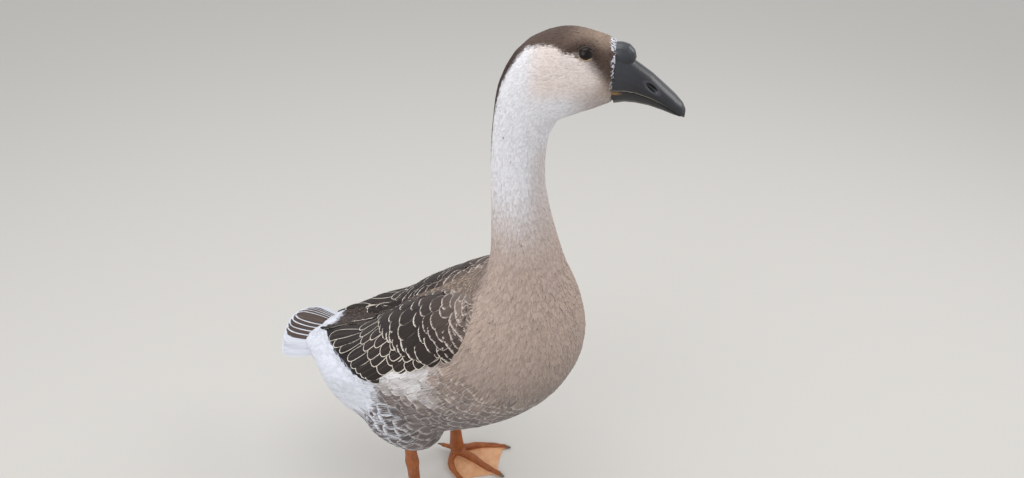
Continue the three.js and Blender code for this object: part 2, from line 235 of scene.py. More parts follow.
def remesh(piece, voxel, smoothing):
    """Fuses a piece's parts into one even skin and smooths it."""
    fused = piece.modifiers.new("fused", "REMESH")
    fused.mode = "VOXEL"
    fused.voxel_size = voxel * MM
    relaxed = piece.modifiers.new("relaxed", "SMOOTH")
    relaxed.factor = 0.5
    relaxed.iterations = smoothing
    settle(piece)


def tree_of(bm):
    """A search tree over a bmesh, which it frees."""
    tree = BVHTree.FromBMesh(bm)
    bm.free()
    return tree


def spread(values, links, count, times):
    """Averages a value of each vertex with its neighbours', several times over."""
    degree = np.bincount(links.ravel(), minlength=count)
    for _ in range(times):
        total = np.bincount(links[:, 0], values[links[:, 1]], count)
        total += np.bincount(links[:, 1], values[links[:, 0]], count)
        values = (values + total) / (1 + degree)
    return values


wing_surface, wing_only = {}, {}
bm = copy_of(*(name for name in COAT_DEPTH if not name.startswith("wing")))
swell(bm, OVERLAP * MM)
for side in SIDES:
    low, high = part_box(f"eye_{side}")
    filler = bmesh.ops.create_uvsphere(bm, u_segments=24, v_segments=12, radius=EYE_FILL * MM)
    bmesh.ops.translate(bm, verts=filler["verts"], vec=(low + high) / 2)
trunk_tree = tree_of(copy_of("trunk"))
for side in SIDES:
    cover_bm = copy_of(f"wing_{side}")
    swell(cover_bm, WING_SWELL * MM)
    cover = add_piece(f"wing_cover_{side}", cover_bm, [])
    remesh(cover, WING_VOXEL, smoothing=12)
    wing_only[side] = BVHTree.FromObject(cover, bpy.context.evaluated_depsgraph_get())
    outer_bm = copy_of("trunk", "neck")
    outer_bm.from_mesh(cover.data)
    outer = add_piece(f"outer_face_{side}", outer_bm, [])
    remesh(outer, WING_VOXEL, smoothing=3)
    wing_surface[side] = BVHTree.FromObject(outer, bpy.context.evaluated_depsgraph_get())
    bpy.data.objects.remove(outer)
    bed = bmesh.new()
    bed.from_mesh(cover.data)
    for vertex in bed.verts:
        inward = trunk_tree.find_nearest(vertex.co)[1]
        vertex.co -= inward * WING_BED * MM
    bed.to_mesh(cover.data)
    bed.free()
    bm.from_mesh(cover.data)
    bpy.data.objects.remove(cover)
skin = add_piece("skin", bm, [])
remesh(skin, BODY_VOXEL, smoothing=8)

points = array_of(skin.data.vertices, "co", 3)
normals = array_of(skin.data.vertices, "normal", 3)
edges = array_of(skin.data.edges, "vertices", 2, np.int32)
beds = [(tree_of(copy_of(name)), WING_BED * MM * name.startswith("wing")) for name in COAT_DEPTH]
owner = np.array([
    np.argmin([abs(tree.find_nearest(spot)[3] - sunk) for tree, sunk in beds]) for spot in points.tolist()
])
depth = spread(np.array(list(COAT_DEPTH.values()))[owner], edges, len(points), 6)
reshape(skin, points - normals * depth[:, None] * MM)

# Bare shanks and feet: scaly skin over bone, in broad scutes down the front of the shank and
# along each toe. The grooves between the scutes are pressed into the surface itself.
LEG_AT = {"left": (-15.3, 51), "right": (-19.3, -57)}
LEG_FLESH = 0.25
SCUTE, SHANK_SCUTE, SCUTE_GROOVE, GROOVE_WIDE = 3.4, 3.4 * 1.15, 0.38, 0.45
WEB_TOP, TOE_TOP, ANKLE_TOP = 4.5, 17, 22
KNEE_Z, KNEE_RISE = 142, 14  # above this height the leg runs on up into the thigh


def groove(distance, pitch):
    """How deep the line between two scutes is at this distance, from 0 to 1."""
    off = np.abs((distance / pitch) % 1 - 0.5) * pitch
    return np.exp(-((off / GROOVE_WIDE) ** 2))


bm = copy_of(*(f"{part}_{side}" for part in ("leg", "foot") for side in LEG_AT))
swell(bm, LEG_FLESH * MM)
for vertex in bm.verts:
    if vertex.co.z > KNEE_Z * MM:
        vertex.co.z += KNEE_RISE * MM
legs = add_piece("legs", bm, [])
remesh(legs, LEG_VOXEL, smoothing=3)
points = array_of(legs.data.vertices, "co", 3)
normals = array_of(legs.data.vertices, "normal", 3)
x, y, z = (points / MM).T
centre = np.where(y[:, None] > 0, LEG_AT["left"], LEG_AT["right"])
out_x, out_y = x - centre[:, 0], y - centre[:, 1]
on_toe = np.clip((z - WEB_TOP) / 1.5, 0, 1) * np.clip((TOE_TOP - z) / 3, 0, 1) * (normals[:, 2] > -0.2)
on_shank = np.clip((z - ANKLE_TOP) / 4, 0, 1) * np.clip(out_x / 3 + 0.6, 0, 1)
pressed = on_toe * groove(np.hypot(out_x, out_y), SCUTE) + on_shank * groove(z, SHANK_SCUTE)
reshape(legs, points - normals * (pressed * SCUTE_GROOVE * MM)[:, None])

# ---------------------------------------------------------------------------------------------
# The plumage's markings, which skin and feathers share: fawn breast, whitish upper neck, cream
# cheek under a brown cap that runs down the hindneck as a dark stripe, white vent. In mm.
# BELLY_SHADE is painted shade: a darker grey low on the body where the underside is in shadow.
FAWN, BREAST, BELLY_SHADE = "#ad998c", "#98887e", "#6c6463"
NECK_PALE, NECK_FRONT, CHEEK, CHIN = "#e4e3e7", "#b5a297", "#e2d5cf", "#ab9c94"
CAP, FOREHEAD, LORES, STRIPE = "#57473f", "#a5907f", "#4f3f38", "#34241c"
MANTLE, RUMP, WHITE = "#6e5e55", "#352d29", "#dadde6"
PALE_TIP, BUFF_TIP, FLUFF, BAR_DARK = "#d2cac6", "#a2907f", "#dcd9da", "#5b5250"
# Where the cap, the lores and the hindneck stripe meet the pale cheek, seen from the side.
CAP_LINE = (
    (94, 600), (97, 633), (99.4, 651), (104, 671), (108, 682), (114.5, 695), (123.5, 708),
    (132, 717.3), (151, 721.9), (159, 721), (167, 717), (175, 717), (179, 713), (187, 711.5),
    (191, 707), (197.5, 701), (201.5, 695), (206, 688), (210, 683),
)
BILL_BASE_Z, BILL_BASE_X = (682, 700, 716, 728), (206.6, 206.6, 206, 202.6)
EYE_SPOT = (182, 716)
STRIPE_Z, STRIPE_HALF = (430, 470, 520, 600, 640), (11, 8, 8, 9.5, 12)
# Where each part of the body's pattern begins and ends: x and z places, or degrees round from
# the middle of the back.
BELLY_Z, BREAST_Z, NECK_FRONT_Z, NECK_PALE_Z = (270, 380), (340, 430), (430, 510), (490, 600)
EDGE_Z = (330, 400)
MANTLE_ROUND, NAPE_ROUND, NAPE_Z = (40, 74), (20, 42), (440, 520)
RUMP_X, RUMP_ROUND = (-30, 10), (40, 60)
VENT_X, VENT_SLOPE, VENT_Z, VENT_ROUND = -35, 0.75, 234, (34, 48)
FLUFF_X, FLUFF_TO_X, FLUFF_Z, FLUFF_OUT = (-52, -28), (52, 88), (312, 334), (60, 75)
HEAD_Z, HEAD_PLACE, STRIPE_FROM_Z, STRIPE_TO_Z = 600, 9.5, (430, 470), (640, 660)
CAP_X, CAP_Z, FOREHEAD_X, FOREHEAD_Z = (112, 135), (690, 712), (160, 196), (712, 730)
LORES_X, LORES_Z, CHEEK_X, CHEEK_Z = (184, 192), (712, 722), (128, 150), (668, 690)
CHIN_X, CHIN_Z, BILL_STAIN_X, BILL_STAIN_Z = (165, 200), (676, 698), (190, 206), (676, 684)
TRUNK_ENDS, THROAT_ROUND, THROAT_Z = (6.2, 7.4), (110, 165), (610, 640)
TAIL_END_X, UNDER_ROUND, UNDER_X = (-165, -150), (148, 162), (10, 40)
CAP_SOFTENS_X, BAND_X, BAND_Z = (178, 190), (-1.5, -0.8), (686, 690)
BARRED_X, BARRED_Z, BARRED_TO_Z, BARRED_OUT = (5, 45), (175, 200), (275, 300), (35, 55)
RAGGED, NECK_RAGGED, BELLY_RAGGED = 8, 14, 20  # how far one feather's noise moves a border

steps = np.linspace(0, len(SPINE) - 1, SPINE_STEPS)
spine = np.stack([np.interp(steps, np.arange(len(SPINE)), row) for row in np.array(SPINE).T], 1)
for _ in range(SPINE_SMOOTHING):
    spine[1:-1] = (spine[:-2] + 2 * spine[1:-1] + spine[2:]) / 4
run = np.gradient(spine, axis=0)
run /= np.linalg.norm(run, axis=1)[:, None]


def ease(value, low, high):
    """A smooth step from 0 at low to 1 at high."""
    share = np.clip((value - low) / (high - low), 0, 1)
    return share * share * (3 - 2 * share)


def turn_at(z):
    """How far the head's turn has got at this height, as an angle."""
    return TURN * ease(z, TURN_FROM_Z, TURN_TO_Z)


def straightened(points):
    """Places in mm with the turn of the head taken out."""
    x, y, z = (np.asarray(points, float) / MM).T
    angle = -turn_at(z)
    x = x - TURN_AXIS_X
    across = x * np.sin(angle) + y * np.cos(angle)
    return TURN_AXIS_X + x * np.cos(angle) - y * np.sin(angle), across, z


def locate(points):
    """For each point, how far it is along the spine, the angle round it, and the coat's lie."""
    x, y, z = straightened(points)
    near = np.concatenate([
        ((x[part, None] - spine[:, 0]) ** 2 + (z[part, None] - spine[:, 1]) ** 2).argmin(1)
        for part in (slice(i, i + AT_ONCE) for i in range(0, len(x), AT_ONCE))
    ])
    way = run[near]
    up = (z - spine[near, 1]) * way[:, 0] - (x - spine[near, 0]) * way[:, 1]
    turned = turn_at(z)
    lie = np.stack([-way[:, 0] * np.cos(turned), -way[:, 0] * np.sin(turned), -way[:, 1]], 1)
    return steps[near], np.arctan2(y, up), lie


def mixed(first, second, share):
    """Each point's colour between two colours, given as hex or as an array, by share."""
    first, second = (np.array(linear(c)[:3]) if isinstance(c, str) else c for c in (first, second))
    return first + (second - first) * np.asarray(share)[..., None]


def layered(colours, *layers):
    """Lays each shade over the colours in turn, as strongly as its share says."""
    for shade, share in layers:
        colours = mixed(colours, shade, share)
    return colours


def beyond(line, x, z):
    """Signed distance from a line of points: positive on its left."""
    ends = np.array(line, float)
    start, along = ends[:-1], np.diff(ends, axis=0)
    best = np.full(len(x), 1e9)
    signed = np.zeros(len(x))
    for (sx, sz), (ax, az) in zip(start, along):
        share = np.clip(((x - sx) * ax + (z - sz) * az) / (ax * ax + az * az), 0, 1)
        gap = np.hypot(x - sx - share * ax, z - sz - share * az)
        cross = ax * (z - sz) - az * (x - sx)
        signed = np.where(gap < best, gap * np.sign(cross), signed)
        best = np.minimum(best, gap)
    return signed


def markings(points, noise):
    """The plumage's colour at each point, the colour of a feather's edge there, and its width."""
    x, y, z = straightened(points)
    place, angle, _ = locate(points)
    below = np.degrees(np.abs(angle))
    side = np.abs(y)
    ragged = RAGGED * noise
    trunk = 1 - ease(place, *TRUNK_ENDS)
    pale = 1 - 0.5 * ease(below, *THROAT_ROUND) * (1 - ease(z, *THROAT_Z))
    pale *= ease(z + NECK_RAGGED * noise, *NECK_PALE_Z)
    mantle = trunk * (1 - ease(below + ragged, *MANTLE_ROUND))
    mantle += (1 - trunk) * (1 - ease(below, *NAPE_ROUND)) * (1 - ease(z, *NAPE_Z))
    mantle = np.clip(mantle, 0, 1)
    rump = (1 - ease(x, *RUMP_X)) * (1 - ease(below, *RUMP_ROUND))
    vent_edge = np.clip(VENT_X + VENT_SLOPE * (z - VENT_Z), -60, 0)
    vent = (1 - ease(x + ragged - vent_edge, -RAGGED, RAGGED)) * ease(below, *VENT_ROUND)
    vent = np.maximum(vent, 1 - ease(x, *TAIL_END_X))
    vent = np.maximum(vent, ease(below, *UNDER_ROUND) * (1 - ease(x, *UNDER_X)) * trunk)
    fluff = ease(x + ragged, *FLUFF_X) * (1 - ease(x + ragged, *FLUFF_TO_X)) * (1 - vent)
    fluff *= ease(z + ragged, *FLUFF_Z) * ease(side, *FLUFF_OUT)
    barred = (1 - ease(x, *BARRED_X)) * ease(z, *BARRED_Z) * (1 - ease(z, *BARRED_TO_Z))
    barred *= ease(side, *BARRED_OUT) * (1 - vent)
    # Low on the trunk the plumage is darkened towards the bottom as painted shade of the underside.
    base = layered(
        BREAST, (FAWN, ease(z, *BREAST_Z)), (BELLY_SHADE, (1 - ease(z + BELLY_RAGGED * noise, *BELLY_Z)) * trunk),
        (NECK_FRONT, ease(z + NECK_RAGGED * noise, *NECK_FRONT_Z)), (NECK_PALE, pale), (MANTLE, mantle),
        (RUMP, rump), (WHITE, vent), (FLUFF, 0.9 * fluff), (BAR_DARK, 0.75 * barred),
    )
    edge = layered(
        base, (PALE_TIP, 0.3), (PALE_TIP, 0.22 * trunk * (1 - ease(z, *EDGE_Z))),
        (BUFF_TIP, mantle), (MANTLE, rump), (WHITE, np.maximum(vent, 0.9 * barred)),
    )
    width = 0.16 + 0.14 * trunk + 0.16 * barred

    # The head and the stripe down the hindneck.
    half = np.interp(z, STRIPE_Z, STRIPE_HALF)
    stripe = (1 - ease(side + 1.2 * noise, half - 2.5, half + 2)) * (below < 90)
    stripe *= ease(z, *STRIPE_FROM_Z) * (1 - ease(z, *STRIPE_TO_Z))
    head = (z > HEAD_Z) * (place > HEAD_PLACE)
    soft = 1.8 + 4.5 * ease(x, *CAP_SOFTENS_X)
    dark = np.where(head, ease(beyond(CAP_LINE, x, z) + 1.3 * noise, -soft, soft), 0)
    near_eye = 1 - ease(np.hypot((x - EYE_SPOT[0]) / 1.35, z - EYE_SPOT[1]), 7, 15)
    brown = layered(
        STRIPE, (CAP, ease(x, *CAP_X) * ease(z, *CAP_Z)),
        (FOREHEAD, ease(x, *FOREHEAD_X) * ease(z, *FOREHEAD_Z) * 0.8),
        (LORES, ease(x, *LORES_X) * (1 - ease(z, *LORES_Z))), (STRIPE, near_eye * 0.75),
    )
    light = layered(
        base, (CHEEK, ease(x, *CHEEK_X) * ease(z, *CHEEK_Z)),
        (CHIN, ease(x, *CHIN_X) * (1 - ease(z, *CHIN_Z)) * 0.8),
        (FOREHEAD, ease(x, *BILL_STAIN_X) * ease(z, *BILL_STAIN_Z) * 0.7),
    )
    line = np.interp(z, BILL_BASE_Z, BILL_BASE_X)
    band = ease(x, line + BAND_X[0], line + BAND_X[1]) * ease(z, *BAND_Z) * (noise > -0.05) * head
    base = np.where(head[:, None], mixed(light, brown, dark), base)
    base = layered(base, (STRIPE, stripe), (WHITE, band))
    edge = mixed(edge, mixed(base, PALE_TIP, 0.12), np.clip(head + stripe, 0, 1))
    return base, edge, width


def painted_material(name, values):
    """A material that takes the colour stored at each of the mesh's vertices."""
    material, shader = new_material(name, values)
    link(shader, Base_Color=add_node(material, "ShaderNodeAttribute", {"attribute_name": "plume"}))
    return material


hide = painted_material("downy hide", {"Roughness": 0.85})

# Scaly skin: fresh orange on the scutes, browner in the joints, paler and duller on the web.
LEG_ORANGE, LEG_BROWN, WEB_PALE = "#b4642c", "#743f1e", "#dba579"
MIX, RANGE = "ShaderNodeMix", "ShaderNodeMapRange"
scaly, scaly_shader = new_material("scaly leg skin", {
    "Roughness": 0.5, "Subsurface Weight": 0.08, "Subsurface Radius": (0.003, 0.0012, 0.0006),
})
place_on = add_node(scaly, "ShaderNodeTexCoord").outputs["Object"]
cells = add_node(
    scaly, "ShaderNodeTexVoronoi", {"feature": "DISTANCE_TO_EDGE", "Scale": 480}, Vector=place_on
)
mottle = add_node(scaly, "ShaderNodeTexNoise", {"Scale": 90, "Detail": 4}, Vector=place_on)
height = add_node(scaly, "ShaderNodeSeparateXYZ", Vector=place_on).outputs["Z"]
web = add_node(scaly, RANGE, {"From Min": 0.0052, "From Max": 0.0034}, Value=height)
seams = add_node(scaly, RANGE, {"From Max": 0.25}, Value=cells)
shade = add_node(scaly, MIX, {"data_type": "RGBA", 6: linear(LEG_BROWN), 7: linear(LEG_ORANGE)}, _0=seams)
shade = add_node(scaly, MIX, {"data_type": "RGBA", 7: linear(WEB_PALE)}, _0=web, _6=shade.outputs[2])
shade = add_node(
    scaly, MIX, {"data_type": "RGBA", "blend_type": "SOFT_LIGHT", 0: 0.7}, _6=shade.outputs[2], _7=mottle
)
bumps = add_node(scaly, "ShaderNodeBump", {"Strength": 0.5, "Distance": 0.0003}, Height=seams)
link(scaly_shader, Base_Color=shade.outputs[2], Normal=bumps)

skin_tree = BVHTree.FromObject(skin, bpy.context.evaluated_depsgraph_get())

# The breast's and flank's feathers run over the front and lower edge of each wing as far as this
# line, and the others stop short under it. Along the body and up the wing's chart, in mm.
WING_OVERLAP = (
    (112, 285), (101, 258), (95, 241), (87, 219), (79, 205), (69, 195), (60, 186), (46, 180),
    (25, 172), (8, 164), (-1, 159), (-9, 149), (-19, 139), (-26, 126), (-34, 100),
)
OVER_WING, UNDER_WING = 8.8, 0.5  # the coat's height over the wing's bed on each side of the line

corners = array_of(skin.data.vertices, "co", 3)
x, y, z = corners.T / MM
ahead = beyond(WING_OVERLAP, x, (z - np.abs(y)) * math.sqrt(0.5))
on_bed = np.char.startswith(np.array(list(COAT_DEPTH))[owner], "wing")
coat_top = spread(np.where(on_bed, OVER_WING, depth), edges, len(corners), 8)
coat_top = np.where(on_bed & (ahead <= 0), UNDER_WING, np.where(on_bed, OVER_WING, coat_top))
coat_top = spread(coat_top, edges, len(corners), 2)
poly_corner = array_of(skin.data.loops, "vertex_index", 1, np.int32)
poly_from = array_of(skin.data.polygons, "loop_start", 1, np.int32)
coat_top_of_face = coat_top[poly_corner[poly_from]]

# ---------------------------------------------------------------------------------------------
# The coat: vanes and tufts of keratin, each rooted in the skin and lying back over the next.
# Roots are strewn evenly over the skin, closest on the face, and every feather bends to it.
ROOTS_AT = (0, 2.59, 2.6, 4.99, 5, 6.3, 7.5, 9, 11, 12.5, 14, 16)
ROOTS_APART = (3.4, 3.4, 10.5, 8.0, 2.2, 2.0, 1.8, 1.65, 1.5, 1.35, 1.15, 0.95)
TRIES = 5  # how many places are tried for each root that would fit
VANE_THICK = 0.14
TIP_SHARE, TIP_POWER = 0.3, 2.5  # the rounded end of a vane, and how blunt it is
TUFT_SHOULDERS, TUFT_NARROWS, TUFT_THICK = (0.3, 0.8), 0.72, 0.09
CONE_HALF_WIDE = 0.87  # of a three-sided cone of radius 1
ROOT_WIDE = 0.42  # a feather's width at its root, as a share of its full width
SEARCH_RISE = 0.8  # how far over the root a flat feather starts before it is bent to the bed
BAKE_PATCH = 0.003  # the side of each feather's patch on the bake's map
COAT_FILL, ROOT_LIFT = 0.95, 0.6  # how high the tips lie in the coat, and the roots below them
STRAY_LIE, STRAY_MARK, STRAY_ROLL = 0.09, 0.35, 0.015  # how much the feathers differ
CAMBER = 0.025  # how much the middle of a feather stands up, as a share of the gap between roots
THIGH_APART, MANTLE_APART = 8.0, 5.6
MANTLE_FROM, MANTLE_TO, MANTLE_TAPERS_AT = 2.6, 7.1, 6  # along the spine
MANTLE_HALF, MANTLE_TAPER = math.radians(62), 0.25  # the half angle it covers round the back
EYE_BARE = 8.6  # no feathers grow this near the middle of the eye

skin.data.calc_loop_triangles()
skin_normals = array_of(skin.data.vertices, "normal", 3)
triangles = array_of(skin.data.loop_triangles, "vertices", 3, np.int32)


def strewn(allowed, apart):
    """Roots about this far apart, in mm, on the skin's triangles for which allowed is true."""
    picked = np.flatnonzero(allowed)
    a, b, c = (corners[triangles[picked, i]] for i in range(3))
    area = np.linalg.norm(np.cross(b - a, c - a), axis=1) / 2
    gap = apart[picked] * MM
    weight = area / gap**2
    count = int(weight.sum() * TRIES)
    chosen = chance.choice(len(picked), count, p=weight / weight.sum())
    u, v = chance.random((2, count, 1))
    u, v = np.where(u + v > 1, 1 - u, u), np.where(u + v > 1, 1 - v, v)
    spots = a[chosen] + u * (b[chosen] - a[chosen]) + v * (c[chosen] - a[chosen])
    gap = gap[chosen]
    tree = KDTree(count)
    for i, spot in enumerate(spots.tolist()):
        tree.insert(spot, i)
    tree.balance()
    free = np.ones(count, bool)
    kept = []
    for i, spot in enumerate(spots.tolist()):
        if free[i]:
            kept.append(i)
            free[[found[1] for found in tree.find_range(spot, gap[i])]] = False
    return spots[kept], picked[chosen[kept]], gap[kept] / MM


def vane_shape(columns, rows):
    """One feather: a flat vane with a round tip and a little thickness. Its x runs across from
    -1 to 1, its y from root to tip, and its z is in mm."""
    bm = bmesh.new()
    bmesh.ops.create_grid(bm, x_segments=columns, y_segments=rows, size=1)
    for vertex in bm.verts:
        turn, along = vertex.co.x * math.pi / 2, (vertex.co.y + 1) / 2
        across = math.copysign(abs(math.sin(turn)) ** (2 / TIP_POWER), turn)
        back = 1 - abs(math.cos(turn)) ** (2 / TIP_POWER)
        vertex.co = (across, along * (1 - TIP_SHARE * back), 0)
    bmesh.ops.solidify(bm, geom=bm.faces, thickness=VANE_THICK)
    return shape_of(bm)


def tuft_shape():
    """One small tuft: a three-sided blade, pointed at both ends."""
    bm = bmesh.new()
    bmesh.ops.create_cone(bm, segments=3, radius1=1, radius2=1, depth=0.5, cap_ends=True)
    caps = [face for face in bm.faces if len(face.verts) == 3]
    bmesh.ops.poke(bm, faces=caps)
    for vertex in bm.verts:
        x, y, z = vertex.co
        end = math.hypot(x, y) < 0.1
        root, tip = (0, 1) if end else TUFT_SHOULDERS
        wide = 0 if end else 1 if z < 0 else TUFT_NARROWS
        vertex.co = (x / CONE_HALF_WIDE * wide, root if z < 0 else tip, 0 if end else TUFT_THICK * y)
    bmesh.ops.triangulate(bm, faces=bm.faces)
    return shape_of(bm)


def shape_of(bm):
    """A feather's vertices and faces as arrays, with its normals out, and frees it."""
    bmesh.ops.recalc_face_normals(bm, faces=bm.faces)
    bm.verts.ensure_lookup_table()
    spots = np.array([v.co[:] for v in bm.verts])
    faces = np.array([[v.index for v in f.verts] for f in bm.faces])
    flat, station = np.unique(spots[:, :2].round(4), axis=0, return_inverse=True)
    bm.free()
    return {"flat": flat, "station": station.ravel(), "up": spots[:, 2], "faces": faces}


def plant(name, shape, roots, bed, material, nodes, tops=None):
    """Lays one feather of this shape at each root, bent to the bed, and joins them in a piece.
    Their lift is in mm, or in shares of the coat's height over each face of the bed."""
    at, lie, lift = roots["at"], roots["lie"], roots["lift"]
    normal = roots["normal"]
    lie = lie - normal * (lie * normal).sum(1)[:, None]
    lie /= np.linalg.norm(lie, axis=1)[:, None]
    across = np.cross(lie, normal)
    b, a = shape["flat"].T
    reach = roots["length"][:, None] * a * MM
    spread_out = ROOT_WIDE + (1 - ROOT_WIDE) * np.sin(np.minimum(a / 0.6, 1) * np.pi / 2)
    aside = roots["width"][:, None] * b * spread_out * MM / 2
    flat = at[:, None] + lie[:, None] * reach[:, :, None] + across[:, None] * aside[:, :, None]
    flat += normal[:, None] * SEARCH_RISE * MM
    hits = [bed.find_nearest(spot)[:3] for spot in flat.reshape(-1, 3).tolist()]
    seats = np.array([hit[0] for hit in hits]).reshape(flat.shape)
    facing = np.array([hit[1] for hit in hits]).reshape(flat.shape)
    facing = facing + facing.mean(1, keepdims=True)
    facing /= np.linalg.norm(facing, axis=2)[:, :, None]
    rise = roots["base_lift"][:, None] + (lift - roots["base_lift"])[:, None] * a
    if tops is not None:
        rise = rise * tops[[hit[2] for hit in hits]].reshape(rise.shape)
    rise = rise + roots["camber"][:, None] * (0.5 - b * b) * a + roots["roll"][:, None] * b
    station = shape["station"]
    spots = seats[:, station] + facing[:, station] * ((rise[:, station] + shape["up"]) * MM)[:, :, None]
    count, size = len(at), len(station)
    faces = shape["faces"][None] + (np.arange(count) * size)[:, None, None]
    sides = faces.shape[2]
    mesh = bpy.data.meshes.new(name)
    mesh.vertices.add(count * size)
    mesh.vertices.foreach_set("co", spots.ravel().astype(np.float32))
    mesh.loops.add(faces.size)
    mesh.loops.foreach_set("vertex_index", faces.ravel().astype(np.int32))
    mesh.polygons.add(faces.size // sides)
    mesh.polygons.foreach_set("loop_start", np.arange(0, faces.size, sides, dtype=np.int32))
    mesh.update(calc_edges=True)
    base = np.concatenate([roots["base"], roots["jitter"][:, None]], 1)
    for layer, values in (("plume", base), ("edge", roots["edge"])):
        colour = mesh.attributes.new(layer, "FLOAT_COLOR", "POINT")
        colour.data.foreach_set("color", np.repeat(values, size, 0).ravel().astype(np.float32))
    vane = np.stack([b * 0.5 + 0.5, a], 1)[station]
    vane = np.broadcast_to(vane, (count, size, 2))
    patch = roots["patch_at"][:, None] + (vane - 0.5) * roots["patch"][:, None, None]
    corner = faces.reshape(-1)
    for layer, values in (("Vane", vane), ("OFBake", patch)):
        uv = mesh.uv_layers.new(name=layer)
        uv.uv.foreach_set("vector", values.reshape(-1, 2)[corner].ravel().astype(np.float32))
    mesh.materials.append(material)
    mesh.shade_smooth()
    mesh.set_sharp_from_angle(angle=math.radians(50))
    piece = add_object(name, mesh)
    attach(piece, "root")
    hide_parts(*nodes)


def unwrapped(points, low, high):
    """Where these points lie on a plain unwrap of the body between two places on its spine."""
    place, angle, _ = locate(points)
    around = 0.5 + np.sign(angle) * np.abs(angle) / math.tau * 0.96
    return np.stack([around, 0.02 + 0.96 * (place - low) / (high - low)], 1)


# Feather keratin: matt and faintly silky, its barbs too fine to see singly, so they are drawn
# as slanting lines about a millimetre apart, with a pale shaft and a frayed pale edge.
STRANDS = 9  # clumps of barbs on each half of a vane
BARB_SLANT = 0.3


def plumage(name, barbs, streak, shaft, soft, shadow, sides=1.0):
    """A feather material: so many barb lines a vane, how strong they and the shaft are, how soft
    its pale rim is, how much darker the vane grows towards it, and how far it runs up the sides."""
    keratin, shader = new_material(name, {
        "Roughness": 0.72, "Sheen Weight": 0.05, "Specular IOR Level": 0.2,
    })
    base = add_node(keratin, "ShaderNodeAttribute", {"attribute_name": "plume"})
    rim = add_node(keratin, "ShaderNodeAttribute", {"attribute_name": "edge"})
    vane = add_node(keratin, "ShaderNodeUVMap", {"uv_map": "Vane"})
    across, along = add_node(keratin, "ShaderNodeSeparateXYZ", Vector=vane).outputs[:2]
    jitter = base.outputs["Alpha"]

    # How far each point is out from the shaft, and from the middle of the vane to its rim.
    off = maths(keratin, "MULTIPLY_ADD", across, 2, -1)
    off = maths(keratin, "ABSOLUTE", off)
    wide = maths(keratin, "MULTIPLY", off, sides)
    wide = maths(keratin, "POWER", wide, TIP_POWER)
    long = add_node(keratin, RANGE, {"From Min": 1 - TIP_SHARE}, Value=along)
    long = maths(keratin, "POWER", long, TIP_POWER)
    radius = maths(keratin, "ADD", wide, long)
    radius = maths(keratin, "POWER", radius, 1 / TIP_POWER)

    # The barbs: fine slanting lines, gathered in strands that fray the rim.
    slant = maths(keratin, "MULTIPLY_ADD", off, -BARB_SLANT, along)
    phase = maths(keratin, "MULTIPLY", jitter, 40)
    barb = maths(keratin, "MULTIPLY_ADD", slant, barbs * math.tau, phase)
    barb = maths(keratin, "SINE", barb)
    barb = maths(keratin, "MULTIPLY_ADD", barb, 0.5, 0.5)
    shift = maths(keratin, "MULTIPLY", jitter, 90)
    shift = maths(keratin, "MULTIPLY_ADD", off, STRANDS, shift)
    drawn = maths(keratin, "MULTIPLY", along, 1.6)
    strand = add_node(keratin, "ShaderNodeCombineXYZ", X=shift, Y=drawn)
    strand = add_node(keratin, "ShaderNodeTexNoise", {"Scale": 1, "Detail": 2}, Vector=strand)
    fuzz = add_node(keratin, RANGE, {"From Min": 0.3, "From Max": 0.7}, Value=strand)
    width = maths(keratin, "MULTIPLY_ADD", fuzz, 1.6 * soft, 1 - 0.8 * soft)
    width = maths(keratin, "MULTIPLY", width, rim.outputs["Alpha"])
    inner = maths(keratin, "MULTIPLY_ADD", width, -1 - soft, 1)
    outer = maths(keratin, "MULTIPLY_ADD", width, soft - 1, 1)
    smooth = {"interpolation_type": "SMOOTHSTEP"}
    mask = add_node(keratin, RANGE, smooth, Value=radius, From_Min=inner, From_Max=outer)

    # The colours: dusky towards the rim, then the rim itself, the strands and the shaft.
    blend = {"data_type": "RGBA"}
    dusk = {"From Min": 0.35, "From Max": 0.85, "To Max": shadow}
    dusk = add_node(keratin, RANGE, dusk, Value=radius)
    colour = add_node(keratin, MIX, {**blend, 7: (0, 0, 0, 1)}, _0=dusk, _6=base)
    colour = add_node(keratin, MIX, blend, _0=mask, _6=colour.outputs[2], _7=rim)
    streaks = {**blend, "blend_type": "OVERLAY", 0: streak}
    colour = add_node(keratin, MIX, streaks, _6=colour.outputs[2], _7=fuzz)
    on_shaft = add_node(keratin, RANGE, {"From Min": 0.09, "From Max": 0.03, "To Max": shaft}, Value=off)
    colour = add_node(keratin, MIX, blend, _0=on_shaft, _6=colour.outputs[2], _7=rim)
    bump = add_node(keratin, "ShaderNodeBump", {"Strength": 0.35, "Distance": 0.0002}, Height=barb)
    link(shader, Base_Color=colour.outputs[2], Normal=bump)
    return keratin


def coat_roots(allowed, stretch, slender, varied):
    """Roots, sizes and colours of the coat's feathers on part of the skin."""
    at, face, gap = strewn(allowed, spacing)
    count = len(at)
    jitter = chance.random(count)
    normal = skin_normals[triangles[face]].mean(1)
    normal /= np.linalg.norm(normal, axis=1)[:, None]
    _, _, lie = locate(at)
    lie = lie + chance.normal(0, STRAY_LIE, (count, 3))
    base, edge, width = markings(at, chance.normal(0, STRAY_MARK, count))
    shade = (1 - varied / 2 + varied * jitter)[:, None]
    lift = COAT_FILL * (0.9 + 0.2 * chance.random(count))
    return {
        "at": at, "normal": normal, "lie": lie, "length": gap * stretch * (0.85 + 0.3 * jitter),
        "width": gap * slender, "lift": lift, "base_lift": lift * ROOT_LIFT, "camber": CAMBER * gap,
        "roll": chance.normal(0, STRAY_ROLL, count) * gap, "jitter": jitter, "base": base * shade,
        "edge": np.concatenate([edge * shade, width[:, None]], 1),
        "patch": np.full(count, BAKE_PATCH),
    }


centres = corners[triangles].mean(1)
face_place, face_angle, _ = locate(centres)
face_owner = np.array(list(COAT_DEPTH))[owner[triangles[:, 0]]]
on_wing = np.char.startswith(face_owner, "wing")
